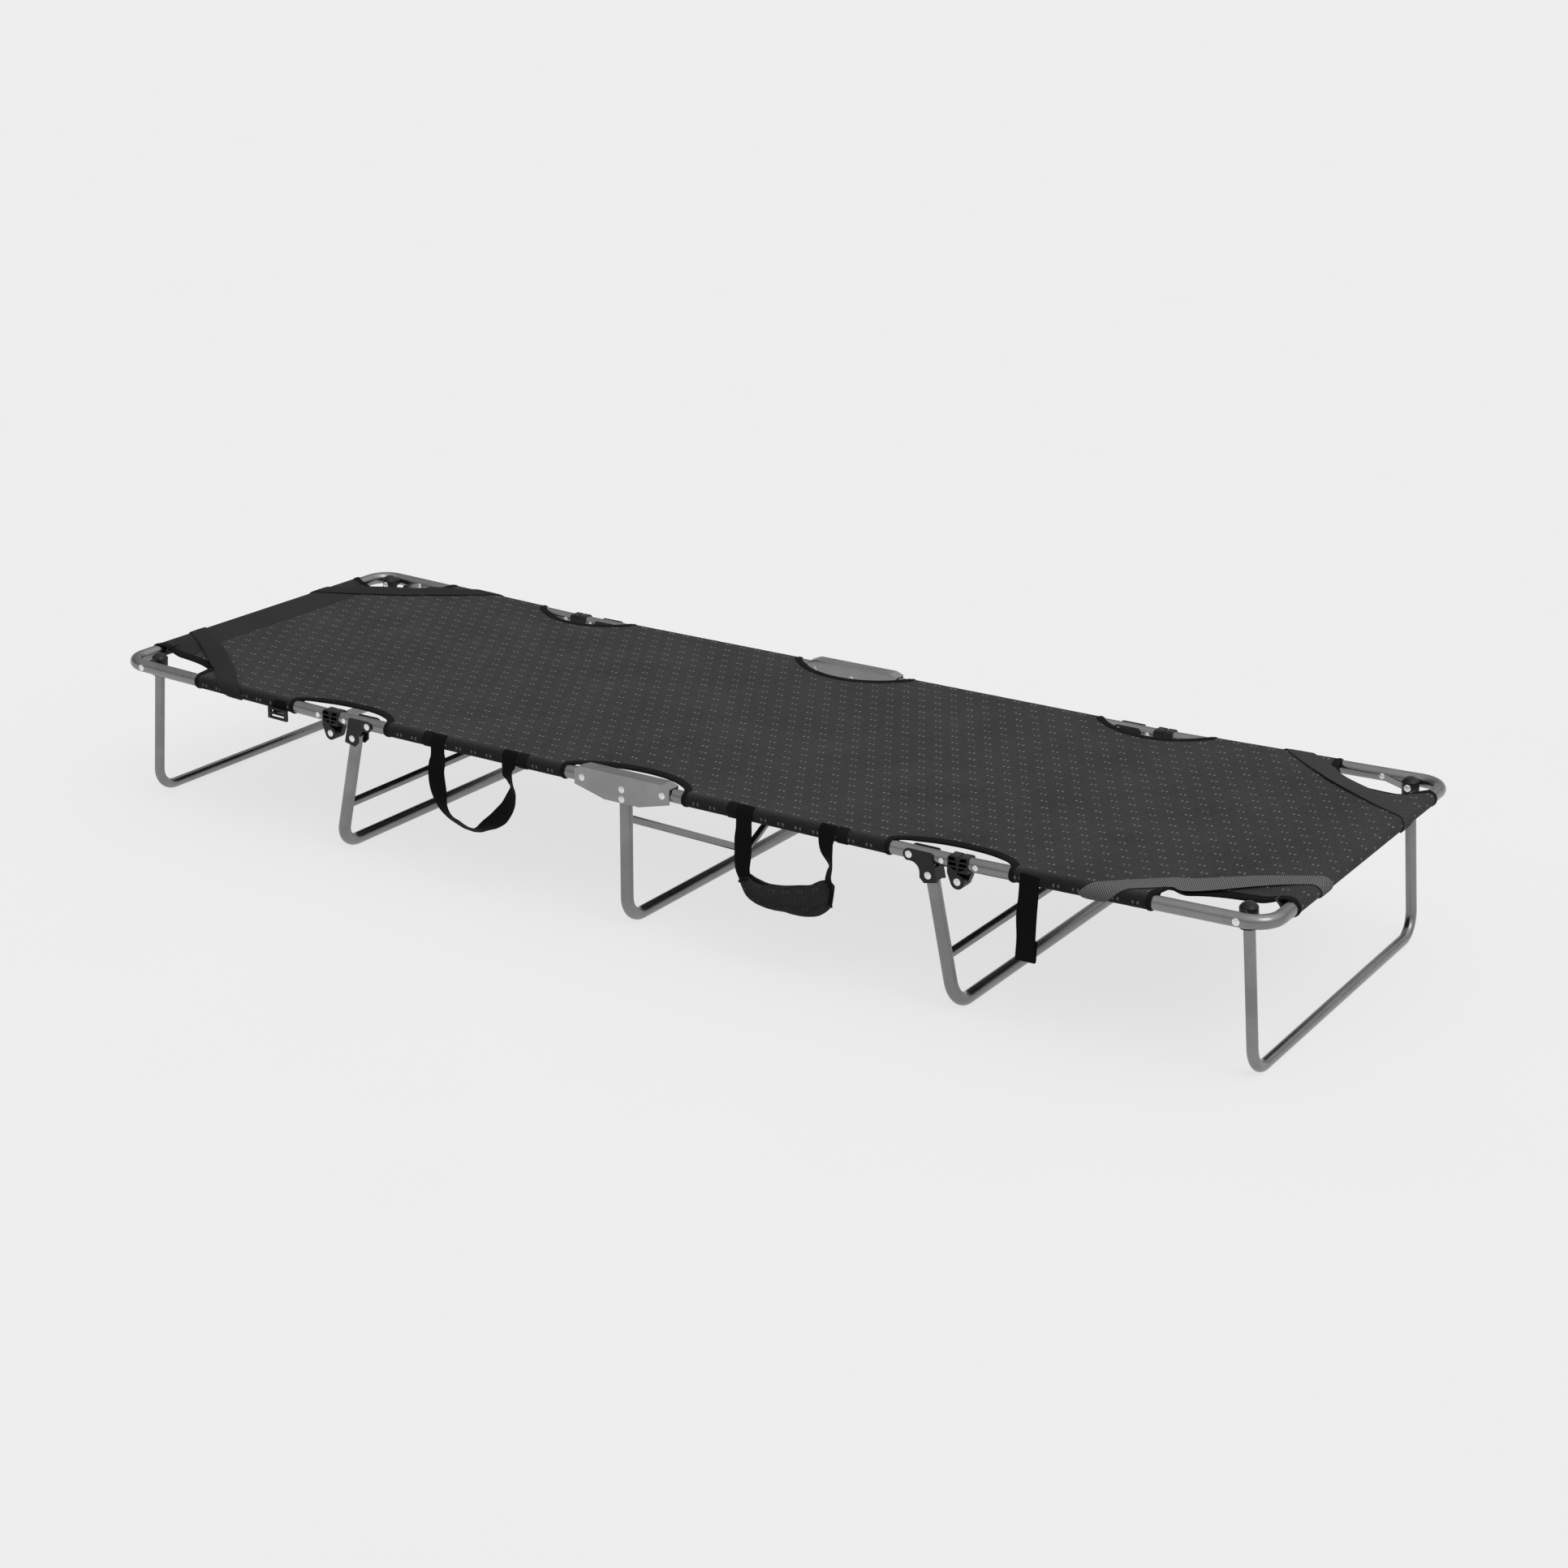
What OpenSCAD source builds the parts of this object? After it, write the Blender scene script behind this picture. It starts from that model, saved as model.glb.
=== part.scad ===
// Folding cot: four hinged frame sections on five U legs, with one fabric bed.
// Origin on the floor under the middle. X runs along the cot from head (-X)
// to foot (+X), Y across it (near side -Y), Z up. Millimetres.

/* [Overall] */
// Length over the end tubes with the sections in line
overall_len = 1900; // [1800:10:2000]
// Half of the width between the axes of the two side rails
rail_half = 300; // [270:5:340]
// Height of the middle rails' axes above the floor
rail_h = 208; // [196:2:240]
// Slope of the two end sections, which rise outwards (degrees)
end_rise = 1.5; // [1:0.1:1.8]
// Facets of round pieces
facets = 48; // [32:8:64]

/* [Tubes] */
// Outside diameter of the rail and end-frame tubes
rail_d = 19; // [18:0.2:19.4]
// Wall of every tube
tube_wall = 1.2; // [0.8:0.1:1.8]
// Outside diameter of the centre and slanted legs
leg_d = 18; // [16:0.2:18.2]
// Outside diameter of the end legs
end_leg_d = 15; // [13:0.5:16]
// Outside diameter of the crossbars of the slanted legs
crossbar_d = 13; // [10:0.5:14]
// Outside diameter of the centre leg's V brace
brace_d = 11; // [8:0.5:12]
// Centreline radius of the end frame's corners
frame_bend = 34; // [30:1:38]
// Centreline radius of the leg bends
leg_bend = 34; // [28:1:40]

/* [Hinges] */
// Distance of the section hinges from the middle
hinge_x = 522; // [515:1:530]
// Depth of the section hinge's pin below the rail axis
hinge_drop = 23; // [22.6:0.1:23.4]
// Length of one hinge half along the rail
hinge_len = 15; // [14:0.5:17]
// Thickness of the hinge halves across the rail
hinge_t = 21; // [20:0.5:23]
// Radius of the round lobe about the hinge pin
lobe_r = 10; // [9:0.25:10.5]
// Depth of the plug that sits in the rail
plug_len = 22; // [18:1:24]
// Distance from the hinge pin to each plug rivet
plug_rivet_x = 25; // [23:0.5:27]
// Depth of the lightening pockets
pocket_depth = 8; // [5:0.5:9]
// Thickness of the ribs between the pockets
rib = 1.8; // [1.4:0.1:2.2]
// Radius of the hinge pins and leg pivot pins
pin_r = 3; // [2.5:0.1:3.4]
// Radial clearance of a pin in its bore
pin_gap = 0.05; // [0.02:0.01:0.08]

/* [Leg brackets] */
// Distance of the slanted leg's pivot from the middle
slant_x = 480; // [474:1:484]
// Depth of the slanted leg's pivot below the rail axis
slant_drop = 23; // [22.8:0.1:23.2]
// Lean of the slanted leg, outwards at the foot (degrees)
slant_lean = 12.5; // [11:0.5:13]
// Share of the slanted leg's length above its crossbar
crossbar_at = 0.62; // [0.5:0.01:0.7]
// Wall of the moulded bracket
bracket_wall = 2.4; // [1.8:0.1:2.6]
// Distance from the leg pivot back to the bracket's rail rivet
bracket_rivet_back = 29; // [27:0.5:31]
// Height of the bracket's top edge above the rail axis
bracket_top = 8; // [7:0.25:9]
// Depth of the bracket's round nose below the leg pivot
bracket_nose = 10; // [9:0.25:10.5]

/* [Centre] */
// Half of the distance between the two rail pivots of a centre bracket
centre_pivot_x = 67; // [66.5:0.5:70]
// Distance the saddle reaches past each rail pivot
saddle_end = 12; // [11:0.5:15]
// Height of the saddle's top above the rail axis
saddle_top = 15.5; // [15.3:0.1:17]
// Sheet thickness of the saddle
sheet_t = 1.5; // [1.2:0.1:1.8]
// Depth of the saddle's cheeks below the rail axis at the ends
cheek_end = 11; // [10:0.5:12]
// Depth of the saddle's cheeks below the rail axis in the middle
cheek_mid = 24; // [21:0.5:26]
// Length of rail past its pivot
rail_past = 8; // [6:0.5:8]
// Depth of the centre leg's top rivet below the rail axis
leg_rivet_drop = 4.5; // [4:0.5:6]
// Distance between the centre leg's two rivets
leg_rivet_pitch = 14; // [12:0.5:15]
// Depth of the brace's top ends below the rail axis
brace_drop = 48; // [44:1:54]

/* [End legs] */
// Distance of the end leg's pivot in from the end bar's axis
end_leg_back = 39.5; // [34:0.5:46]
// Distance of the end leg's uprights in from the side rails' axes
end_leg_in = 30; // [29:0.5:32]
// Lean of the end leg, outwards at the foot (degrees)
end_leg_lean = 5.5; // [4.5:0.25:6]
// Radius of the end leg's round cap
cap_r = 12; // [10.5:0.25:12.5]
// Radius of the boss that spaces the cap from the rail
cap_boss_r = 7; // [6:0.25:8]
// Height of the cap's domed top above the rail axis
cap_top = 14; // [12:0.5:16]
// Depth of the cap's skirt below the rail axis
cap_skirt = 20; // [17:0.5:22]
// Distance from the leg pivot back to the catch's rivet
catch_back = 48; // [46:0.5:50]
// Width of the sheet-steel catch
catch_w = 9; // [8:0.5:10]
// Fall of the catch from its rivet to its tip
catch_fall = 9.5; // [8:0.5:11]
// Gap along the rail between the catch's tip and the leg's cap
catch_gap = 4; // [3:0.5:6]

/* [Bed] */
// Thickness of the bed fabric
fabric_t = 0.8; // [0.6:0.05:0.9]
// Gap between a rail and the fabric sleeve around it
sleeve_gap = 0.15; // [0.1:0.05:0.25]
// Half length of the open cut-out at a section hinge
hinge_cut_half = 87; // [80:1:92]
// Distance from the hinge to the middle of its cut-out, towards the middle
hinge_cut_shift = 14; // [10:1:18]
// Half length of the open cut-out at the centre bracket
centre_cut_half = 98; // [94:1:104]
// Depth of the hinge cut-outs inwards from the rail axis
hinge_cut_depth = 41; // [36:1:44]
// Depth of the centre cut-outs inwards from the rail axis
centre_cut_depth = 50; // [44:1:54]
// Bow of the bed's edge inwards across an open corner
corner_bow = 30; // [20:1:34]
// End of the rail sleeve before the open corner
sleeve_end_x = 790; // [780:1:800]
// Set-back of a rail sleeve from the end of a bay in the bed's edge
sleeve_back = 1; // [0.5:0.25:2]
// Half width of the sleeve on the end tube
end_sleeve_half = 236; // [228:1:240]

/* [Webbing] */
// Thickness of the webbing
web_t = 1.5; // [1.2:0.1:1.7]
// Width of the corner straps
strap_w = 36; // [30:1:40]
// Where the corner strap leaves the side rail
strap_x = 722; // [715:1:735]
// Where the corner strap leaves the end tube
strap_y = 142; // [130:1:155]
// Rise of the corner strap's bow above the bed
strap_bow = 9; // [6:0.5:10]
// Width of the carrying handles' webbing
handle_w = 25; // [20:1:28]
// Middle of the head handle
head_handle_x = 260; // [250:1:266]
// Distance between the two ends of the head handle
head_handle_span = 144; // [136:2:150]
// Middle of the foot handle
foot_handle_x = 262; // [256:1:268]
// Distance between the two ends of the foot handle
foot_handle_span = 140; // [134:2:146]
// Depth of the handles below the rail axis
handle_drop = 122; // [110:2:128]
// Height of the foot handle's padded grip
grip_h = 42; // [36:1:48]
// Thickness of the padded grip
grip_t = 11; // [9:0.5:13]
// Place of the closing strap on the foot section
closing_x = 624; // [620:1:632]
// Width of the closing strap
closing_w = 28; // [24:1:30]
// Length of the closing strap below the rail axis
closing_drop = 110; // [90:5:130]
// Place of the buckle on the head section
buckle_x = 620; // [612:1:632]
// Width of the buckle
buckle_w = 36; // [32:1:40]

/* [Hidden] */
$fn = facets;

// Colours
steel = [0.60, 0.61, 0.62];
bright = [0.80, 0.80, 0.81];
black = [0.09, 0.09, 0.10];
cloth = [0.20, 0.20, 0.21];
webbing = [0.12, 0.12, 0.13];

// Small values and sizes worked out from the driving ones
HEAD = -1;
FOOT = 1;
NEAR = -1;
FAR = 1;
cut = 0.5;                       // overshoot of cutting tools
seat = 0.1;                      // gap between pieces of one body that only touch
free = 0.3;                      // gap between pieces of different bodies
rail_r = rail_d / 2;
leg_r = leg_d / 2;
end_leg_r = end_leg_d / 2;
end_x = overall_len / 2 - rail_r;
end_leg_x = end_x - end_leg_back;
end_leg_half = rail_half - end_leg_in;
sleeve_in = rail_r + sleeve_gap;
sleeve_out = sleeve_in + fabric_t;
wrap_in = sleeve_out + seat;
wrap_out = wrap_in + web_t;
bore_r = pin_r + pin_gap;
rivet_r = 2.4;                   // shank of the rivets that hold without turning
head_h = 1.6;                    // height of a rivet's domed head
head_r = 5;                      // radius of a rivet's head
slant_len = (rail_h - slant_drop - leg_r) / cos(slant_lean);
// Place of a point of the end section, from its distance along and above the rail
function end_at_x(x, z) =
  hinge_x + (x - hinge_x) * cos(end_rise) - (z + hinge_drop) * sin(end_rise);
function end_at_z(x, z) =
  rail_h - hinge_drop + (x - hinge_x) * sin(end_rise) + (z + hinge_drop) * cos(end_rise);
end_leg_len = (end_at_z(end_leg_x, 0) - end_leg_r) / cos(end_leg_lean);
hang_y = wrap_out + free + web_t / 2;   // plane of the hanging webbing, outside the rail

// ---- placing -------------------------------------------------------------

// The head side is the foot side turned over in X
module side(s) { mirror([s < 0 ? 1 : 0, 0, 0]) children(); }

// Rail frame: x along the cot, y outwards from the rail, z up from its axis
module on_rail(t) {
  mirror([0, t < 0 ? 1 : 0, 0]) translate([0, rail_half, 0]) children();
}

module mid_place(s) { side(s) translate([0, 0, rail_h]) children(); }

module end_place(s) {
  side(s) translate([hinge_x, 0, rail_h - hinge_drop]) rotate([0, -end_rise, 0])
    translate([-hinge_x, 0, hinge_drop]) children();
}

// Children drawn in a plane, given thickness from y0 to y1
module across(y0, y1) {
  translate([0, y1, 0]) rotate([90, 0, 0]) linear_extrude(y1 - y0) children();
}

// ---- tubes ---------------------------------------------------------------

module rod_x(x0, x1, r) { translate([x0, 0, 0]) rotate([0, 90, 0]) cylinder(h = x1 - x0, r = r); }
module rod_y(y0, y1, r) { translate([0, y1, 0]) rotate([90, 0, 0]) cylinder(h = y1 - y0, r = r); }

// Quarter bend from the direction -Z into +Y, its arc starting at the origin
module bend_zy(radius, r) {
  translate([0, radius, 0]) rotate([0, 90, 180]) rotate_extrude(angle = 90)
    translate([radius, 0]) circle(r);
}

// Solid core of a U leg: two uprights at y = +-half, a bar at z = -len
module u_core(half, len, bend, r, top) {
  for (t = [NEAR, FAR]) mirror([0, t > 0 ? 1 : 0, 0]) {
    translate([0, -half, bend - len]) cylinder(h = top + len - bend, r = r);
    translate([0, -half, bend - len]) bend_zy(bend, r);
  }
  translate([0, 0, -len]) rod_y(bend - half, half - bend, r);
}

module u_tube(half, len, bend, r, top) {
  difference() {
    u_core(half, len, bend, r, top);
    u_core(half, len, bend, r - tube_wall, top + cut);
  }
}

// ---- rivets --------------------------------------------------------------

// Rivet along y with a domed head at each end
module rivet(y0, y1, r = rivet_r, head = head_r) {
  rod_y(y0 - cut, y1 + cut, r);
  for (e = [[y0, 0], [y1, 180]]) translate([0, e[0], 0]) rotate([90, 0, e[1]])
    rotate_extrude() intersection() {
      square([head, head_h]);
      translate([0, head_h - dome_r(head)]) circle(dome_r(head));
    }
}
function dome_r(head) = (head * head + head_h * head_h) / (2 * head_h);

// ---- centre --------------------------------------------------------------

saddle_in = rail_r + seat + 0.1;
saddle_out = saddle_in + sheet_t;
saddle_len = centre_pivot_x + saddle_end;
leg_top = 6;                     // the centre leg's top above the rail axis

module centre_leg() {
  color(steel) translate([0, 0, rail_h]) difference() {
    u_tube(rail_half, rail_h - leg_r, leg_bend, leg_r, leg_top);
    for (t = [NEAR, FAR]) on_rail(t) for (z = leg_rivets()) translate([0, 0, z])
      rod_y(-leg_d, leg_d, rivet_r);
  }
}
function leg_rivets() = [-leg_rivet_drop, -leg_rivet_drop - leg_rivet_pitch];

module centre_leg_brace() {
  foot = leg_d - 1;              // the vertex is let into the foot bar
  rise = rail_h - brace_drop - foot;
  tilt = atan2(rail_half, rise);
  reach = sqrt(rail_half * rail_half + rise * rise);
  color(steel) difference() {
    for (t = [NEAR, FAR]) mirror([0, t > 0 ? 1 : 0, 0]) translate([0, 0, foot])
      rotate([tilt, 0, 0]) cylinder(h = reach, r = brace_d / 2);
    for (t = [NEAR, FAR]) mirror([0, t > 0 ? 1 : 0, 0]) translate([0, 0, foot])
      rotate([tilt, 0, 0]) translate([0, 0, 2 * brace_d])
        cylinder(h = reach - 2 * brace_d + cut, r = brace_d / 2 - tube_wall);
    translate([0, 0, rail_h]) u_core(rail_half, rail_h - leg_r, leg_bend, leg_r, leg_top);
    for (t = [NEAR, FAR]) on_rail(t) translate([-leg_d / 2, 0, 0])
      cube([leg_d, leg_d * 2, rail_h]);
  }
}

// Side view of the saddle, z measured from the rail axis
module saddle_outline(shrink) {
  l = saddle_len + (shrink > 0 ? cut : 0);
  step = 12;
  polygon([
    [-l, -cheek_end - shrink], [-l, rail_r + 1.7 - shrink],
    [-saddle_len + step, saddle_top - shrink], [saddle_len - step, saddle_top - shrink],
    [l, rail_r + 1.7 - shrink], [l, -cheek_end - shrink],
    [step * 2.4, -cheek_mid - shrink], [-step * 2.4, -cheek_mid - shrink]
  ]);
}

module centre_bracket(t) {
  color(steel * 0.9) translate([0, 0, rail_h]) on_rail(t) difference() {
    across(-saddle_out, saddle_out) saddle_outline(0);
    across(-saddle_in, saddle_in) saddle_outline(sheet_t);
    for (x = [-centre_pivot_x, centre_pivot_x]) translate([x, 0, 0])
      rod_y(-saddle_out - cut, saddle_out + cut, bore_r);
    for (z = leg_rivets()) translate([0, 0, z])
      rod_y(-saddle_out - cut, saddle_out + cut, rivet_r);
  }
}

module centre_rivets() {
  color(bright) translate([0, 0, rail_h]) for (t = [NEAR, FAR]) on_rail(t) {
    for (x = [-centre_pivot_x, centre_pivot_x]) translate([x, 0, 0])
      rivet(-saddle_out, saddle_out, pin_r);
    for (z = leg_rivets()) translate([0, 0, z]) rivet(-saddle_out, saddle_out);
  }
}

// ---- bed fabric ----------------------------------------------------------

// Flat bed between two distances from the middle, seen from above, less the cut-outs
module bed_outline(x0, x1) {
  difference() {
    translate([x0, -rail_half]) square([x1 - x0, 2 * rail_half]);
    for (t = [NEAR, FAR]) mirror([0, t < 0 ? 1 : 0]) {
      side_cut(0, centre_cut_half, centre_cut_depth);
      side_cut(hinge_x - hinge_cut_shift, hinge_cut_half, hinge_cut_depth);
      corner_cut();
    }
  }
}

// Shallow round bay in the bed's edge, open to the rail
module side_cut(x, half, depth) {
  r = (half * half + depth * depth) / (2 * depth);
  translate([x, rail_half - depth + r]) circle(r, $fn = 2 * facets);
}

// Open corner: a round bay from the end of the rail sleeve to the end tube's sleeve
module corner_cut() {
  ax = sleeve_end_x;
  ay = rail_half;
  bx = end_x;
  by = end_sleeve_half;
  mx = (ax + bx) / 2;
  my = (ay + by) / 2;
  chord = sqrt((bx - ax) * (bx - ax) + (by - ay) * (by - ay));
  r = (chord * chord / 4 + corner_bow * corner_bow) / (2 * corner_bow);
  nx = (ay - by) / chord;
  ny = (bx - ax) / chord;
  translate([mx + nx * (r - corner_bow), my + ny * (r - corner_bow)]) circle(r, $fn = 4 * facets);
}

module bed_panel(x0, x1) {
  translate([0, 0, sleeve_in]) linear_extrude(fabric_t) bed_outline(x0, x1);
}

// Sleeve round a rail, with the rail's bore left free
module rail_sleeve(x0, x1) {
  for (t = [NEAR, FAR]) on_rail(t) difference() {
    rod_x(x0, x1, sleeve_out);
    rod_x(x0 - cut, x1 + cut, sleeve_in);
  }
}

// Takes the sleeve's room out of the panel, so that the two join along its top
module bed_section(x0, x1, s0, s1) {
  difference() {
    union() {
      bed_panel(x0, x1);
      rail_sleeve(s0, s1);
    }
    for (t = [NEAR, FAR]) on_rail(t) rod_x(x0 - cut, x1 + cut, sleeve_in);
  }
}

module centre_fabric() {
  color(cloth) translate([0, 0, rail_h]) bed_panel(free / 2 - centre_pivot_x, centre_pivot_x - free / 2);
}

module mid_fabric(s) {
  color(cloth) mid_place(s) bed_section(centre_pivot_x + free / 2, hinge_x - free / 2,
    centre_cut_half + sleeve_back, hinge_x - hinge_cut_shift - hinge_cut_half - sleeve_back);
}

module end_fabric(s) {
  color(cloth) end_place(s) difference() {
    union() {
      bed_panel(hinge_x + tilted_face(sleeve_out), end_x);
      rail_sleeve(hinge_x - hinge_cut_shift + hinge_cut_half + sleeve_back, sleeve_end_x - sleeve_back);
      translate([end_x, 0, 0]) rod_y(-end_sleeve_half, end_sleeve_half, sleeve_out);
    }
    for (t = [NEAR, FAR]) on_rail(t) rod_x(hinge_x, sleeve_end_x + cut, sleeve_in);
    translate([end_x, 0, 0]) rod_y(-rail_half, rail_half, sleeve_in);
  }
}

// ---- middle sections -----------------------------------------------------

rail_end = hinge_x - hinge_len;

module mid_rail(s, t) {
  color(steel) mid_place(s) on_rail(t) difference() {
    rod_x(centre_pivot_x - rail_past, rail_end, rail_r);
    rod_x(centre_pivot_x - rail_past - cut, rail_end + cut, rail_r - tube_wall);
    translate([centre_pivot_x, 0, 0]) rod_y(-rail_d, rail_d, bore_r);
    translate([hinge_x - plug_rivet_x, 0, 0]) rod_y(-rail_d, rail_d, rivet_r);
    translate([slant_x - bracket_rivet_back, 0, 0]) rod_y(-rail_d, rail_d, rivet_r);
  }
}

// Face of the end section's pieces at a height above the rail axis, set back for its slope
function tilted_face(z) = free / 2 + (z + hinge_drop) * tan(end_rise);

// Hinge half, drawn on the +X side of the pin. Its ear takes the outer layer
// (ear = 1) or the inner layer (ear = -1) of the thickness.
hinge_floor = hinge_drop - lobe_r - 2.5;   // depth of the block's underside
block_top = 11;                            // height of the block's top
notch = 4;                                 // rounding of the V between two halves
block_round = 5;                           // rounding of the block's long top edges

module block_outline(face) {
  hull() {
    translate([face, -hinge_floor]) square([hinge_len - face, hinge_floor]);
    for (x = [face + notch, hinge_len - notch]) translate([x, block_top - notch]) circle(notch);
  }
}

// The block's front view: rounded over, like the rail beside it
module block_front() {
  half = hinge_t / 2;
  hull() {
    translate([-half, -hinge_floor]) square([hinge_t, hinge_floor]);
    for (y = [-1, 1]) translate([y * (half - block_round), block_top - block_round])
      circle(block_round);
  }
}

// The lobe about the pin and the neck that carries it
module ear_outline() {
  translate([0, -hinge_drop]) circle(lobe_r);
  polygon([
    [free / 2, -hinge_floor], [hinge_len, -hinge_floor], [hinge_len, -hinge_floor - 2],
    [lobe_r * 0.95, -hinge_drop - lobe_r * 0.3], [0, -hinge_drop], [-lobe_r * 0.2, -hinge_drop],
    [free / 2, -hinge_drop + lobe_r]
  ]);
}

// Three pockets between diagonal ribs
module pocket_outline() {
  x0 = free / 2 + rib;
  x1 = hinge_len - rib;
  top = block_top - rib;
  step = (block_top + hinge_floor - 4 * rib) / 3;
  polygon([[x0 + notch, top], [x1, top], [x1, top - step], [x0, top - step], [x0, top - notch]]);
  polygon([[x0, top - step - rib], [x1, top - step - rib], [x1, top - 2 * step - rib],
    [x0, top - 2 * step - rib]]);
  polygon([[x0, top - 2 * step - 2 * rib], [x1, top - 2 * step - 2 * rib],
    [x0, top - 3 * step - 2 * rib]]);
}

module hinge_half(ear, dir, face) {
  half = hinge_t / 2;
  outer = ear > 0;
  mirror([dir > 0 ? 0 : 1, 0, 0]) difference() {
    union() {
      intersection() {
        across(-half, half) block_outline(face);
        rotate([90, 0, 90]) linear_extrude(hinge_len + cut) block_front();
      }
      across(outer ? free / 2 : -half, outer ? half : -free / 2) ear_outline();
      rod_x(hinge_len - cut, hinge_len + plug_len, rail_r - tube_wall - seat);
    }
    across(half - pocket_depth, half + cut) pocket_outline();
    translate([0, 0, -hinge_drop]) rod_y(-hinge_t, hinge_t, bore_r);
    translate([plug_rivet_x, 0, 0]) rod_y(-rail_d, rail_d, rivet_r);
  }
}

// The half towards -X carries the outer ear on both hinges
module hinge_inner(s, t) {
  color(black) mid_place(s) on_rail(t) translate([hinge_x, 0, 0])
    hinge_half(s, -1, free / 2);
}
module hinge_outer(s, t) {
  color(black) end_place(s) on_rail(t) translate([hinge_x, 0, 0])
    hinge_half(-s, 1, tilted_face(block_top));
}

module hinge_pins(s) {
  color(bright) end_place(s) for (t = [NEAR, FAR]) on_rail(t)
    translate([hinge_x, 0, -hinge_drop]) rivet(-hinge_t / 2 - free, hinge_t / 2 + free, pin_r);
}

// Bracket of the slanted leg: two cheeks joined by a wall that stops the leg
cheek_in = rail_r + seat;
cheek_out = cheek_in + bracket_wall;
wall_in = leg_r + free;

module bracket_cheek() {
  right = wall_in + bracket_wall;
  flank = 14;                    // radius of the hollow between the rail rivet and the foot
  difference() {
    hull() {
      translate([-bracket_rivet_back, 0]) circle(bracket_top);
      translate([right - (bracket_top + slant_drop) * tan(slant_lean) - 2, bracket_top - 2])
        circle(2);
      translate([0, -slant_drop]) rotate(slant_lean) {
        translate([-0.75 * bracket_nose, -bracket_nose]) square([bracket_nose, bracket_nose]);
        translate([0, -bracket_nose]) square([right, bracket_nose]);
      }
    }
    hull() {
      translate([-bracket_rivet_back + 3, -bracket_top - flank]) circle(flank);
      translate([-bracket_rivet_back + 5, -slant_drop - 3 * flank]) circle(flank);
      translate([-bracket_rivet_back - flank, -bracket_top - flank]) circle(flank);
    }
  }
}

module bracket_wall_outline() {
  translate([0, -slant_drop]) rotate(slant_lean) translate([wall_in, -bracket_nose + 2])
    square([bracket_wall, bracket_nose + slant_drop - cheek_in - 6]);
}

module leg_bracket(s, t) {
  color(black) mid_place(s) on_rail(t) translate([slant_x, 0, 0]) difference() {
    union() {
      for (e = [-1, 1]) mirror([0, e > 0 ? 1 : 0, 0]) across(cheek_in, cheek_out) bracket_cheek();
      across(-cheek_out, cheek_out) bracket_wall_outline();
    }
    translate([0, 0, -slant_drop]) rod_y(-rail_d, rail_d, bore_r);
    translate([-bracket_rivet_back, 0, 0]) rod_y(-rail_d, rail_d, rivet_r);
  }
}

module mid_rivets(s) {
  color(bright) mid_place(s) for (t = [NEAR, FAR]) on_rail(t) {
    translate([slant_x - bracket_rivet_back, 0, 0]) rivet(-cheek_out, cheek_out);
    translate([hinge_x - plug_rivet_x, 0, 0]) rivet(-rail_r, rail_r, rivet_r, head_r - 1);
  }
}

module slant_leg_pins(s) {
  color(bright) mid_place(s) for (t = [NEAR, FAR]) on_rail(t)
    translate([slant_x, 0, -slant_drop]) rivet(-cheek_out, cheek_out, pin_r);
}

module slant_place(s) {
  mid_place(s) translate([slant_x, 0, -slant_drop]) rotate([0, -slant_lean, 0]) children();
}

module slant_leg(s) {
  color(steel) slant_place(s) difference() {
    u_tube(rail_half, slant_len, leg_bend, leg_r, leg_r);
    // tube ends rounded about the pivot, so that they turn inside the bracket
    for (t = [NEAR, FAR]) on_rail(t) difference() {
      translate([-leg_d, -leg_d, 0]) cube([2 * leg_d, 2 * leg_d, leg_d]);
      rod_y(-2 * leg_d, 2 * leg_d, leg_r);
    }
    for (t = [NEAR, FAR]) on_rail(t) rod_y(-leg_d, leg_d, bore_r);
  }
}

module slant_leg_crossbar(s) {
  color(steel) slant_place(s) translate([0, 0, -crossbar_at * slant_len]) difference() {
    rod_y(-rail_half, rail_half, crossbar_d / 2);
    rod_y(leg_d - rail_half, rail_half - leg_d, crossbar_d / 2 - tube_wall);
    for (t = [NEAR, FAR]) on_rail(t) translate([0, 0, -leg_d]) cylinder(h = 2 * leg_d, r = leg_r);
    for (t = [NEAR, FAR]) on_rail(t) translate([-leg_d, 0, -leg_d]) cube(2 * leg_d);
  }
}

// ---- end sections --------------------------------------------------------

module frame_core(r, start) {
  for (t = [NEAR, FAR]) on_rail(t) {
    rod_x(start, end_x - frame_bend, r);
    translate([end_x - frame_bend, 0, 0]) translate([0, -frame_bend, 0]) rotate_extrude(angle = 90)
      translate([frame_bend, 0]) circle(r);
  }
  translate([end_x, 0, 0]) rod_y(frame_bend - rail_half, rail_half - frame_bend, r);
}

module end_frame(s) {
  start = hinge_x + hinge_len;
  color(steel) end_place(s) difference() {
    frame_core(rail_r, start);
    frame_core(rail_r - tube_wall, start - cut);
    for (t = [NEAR, FAR]) on_rail(t) {
      translate([hinge_x + plug_rivet_x, 0, 0]) rod_y(-rail_d, rail_d, rivet_r);
      translate([end_leg_x - catch_back, 0, 0]) rod_y(-rail_d, -rail_r / 2, rivet_r);
      translate([end_leg_x, 0, 0]) rod_y(-rail_d, rail_d, pin_r);
    }
  }
}

catch_y = -rail_r - seat;        // outer face of the catch, beside the rail
cap_out = catch_y - sheet_t - free;
cap_in = end_leg_half - rail_half - cap_r;
// Seat of a blind rivet's inner head in the rail's bore
blind_y = seat - sqrt(pow(rail_r - tube_wall, 2) - pow(head_r - 1, 2));

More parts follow.
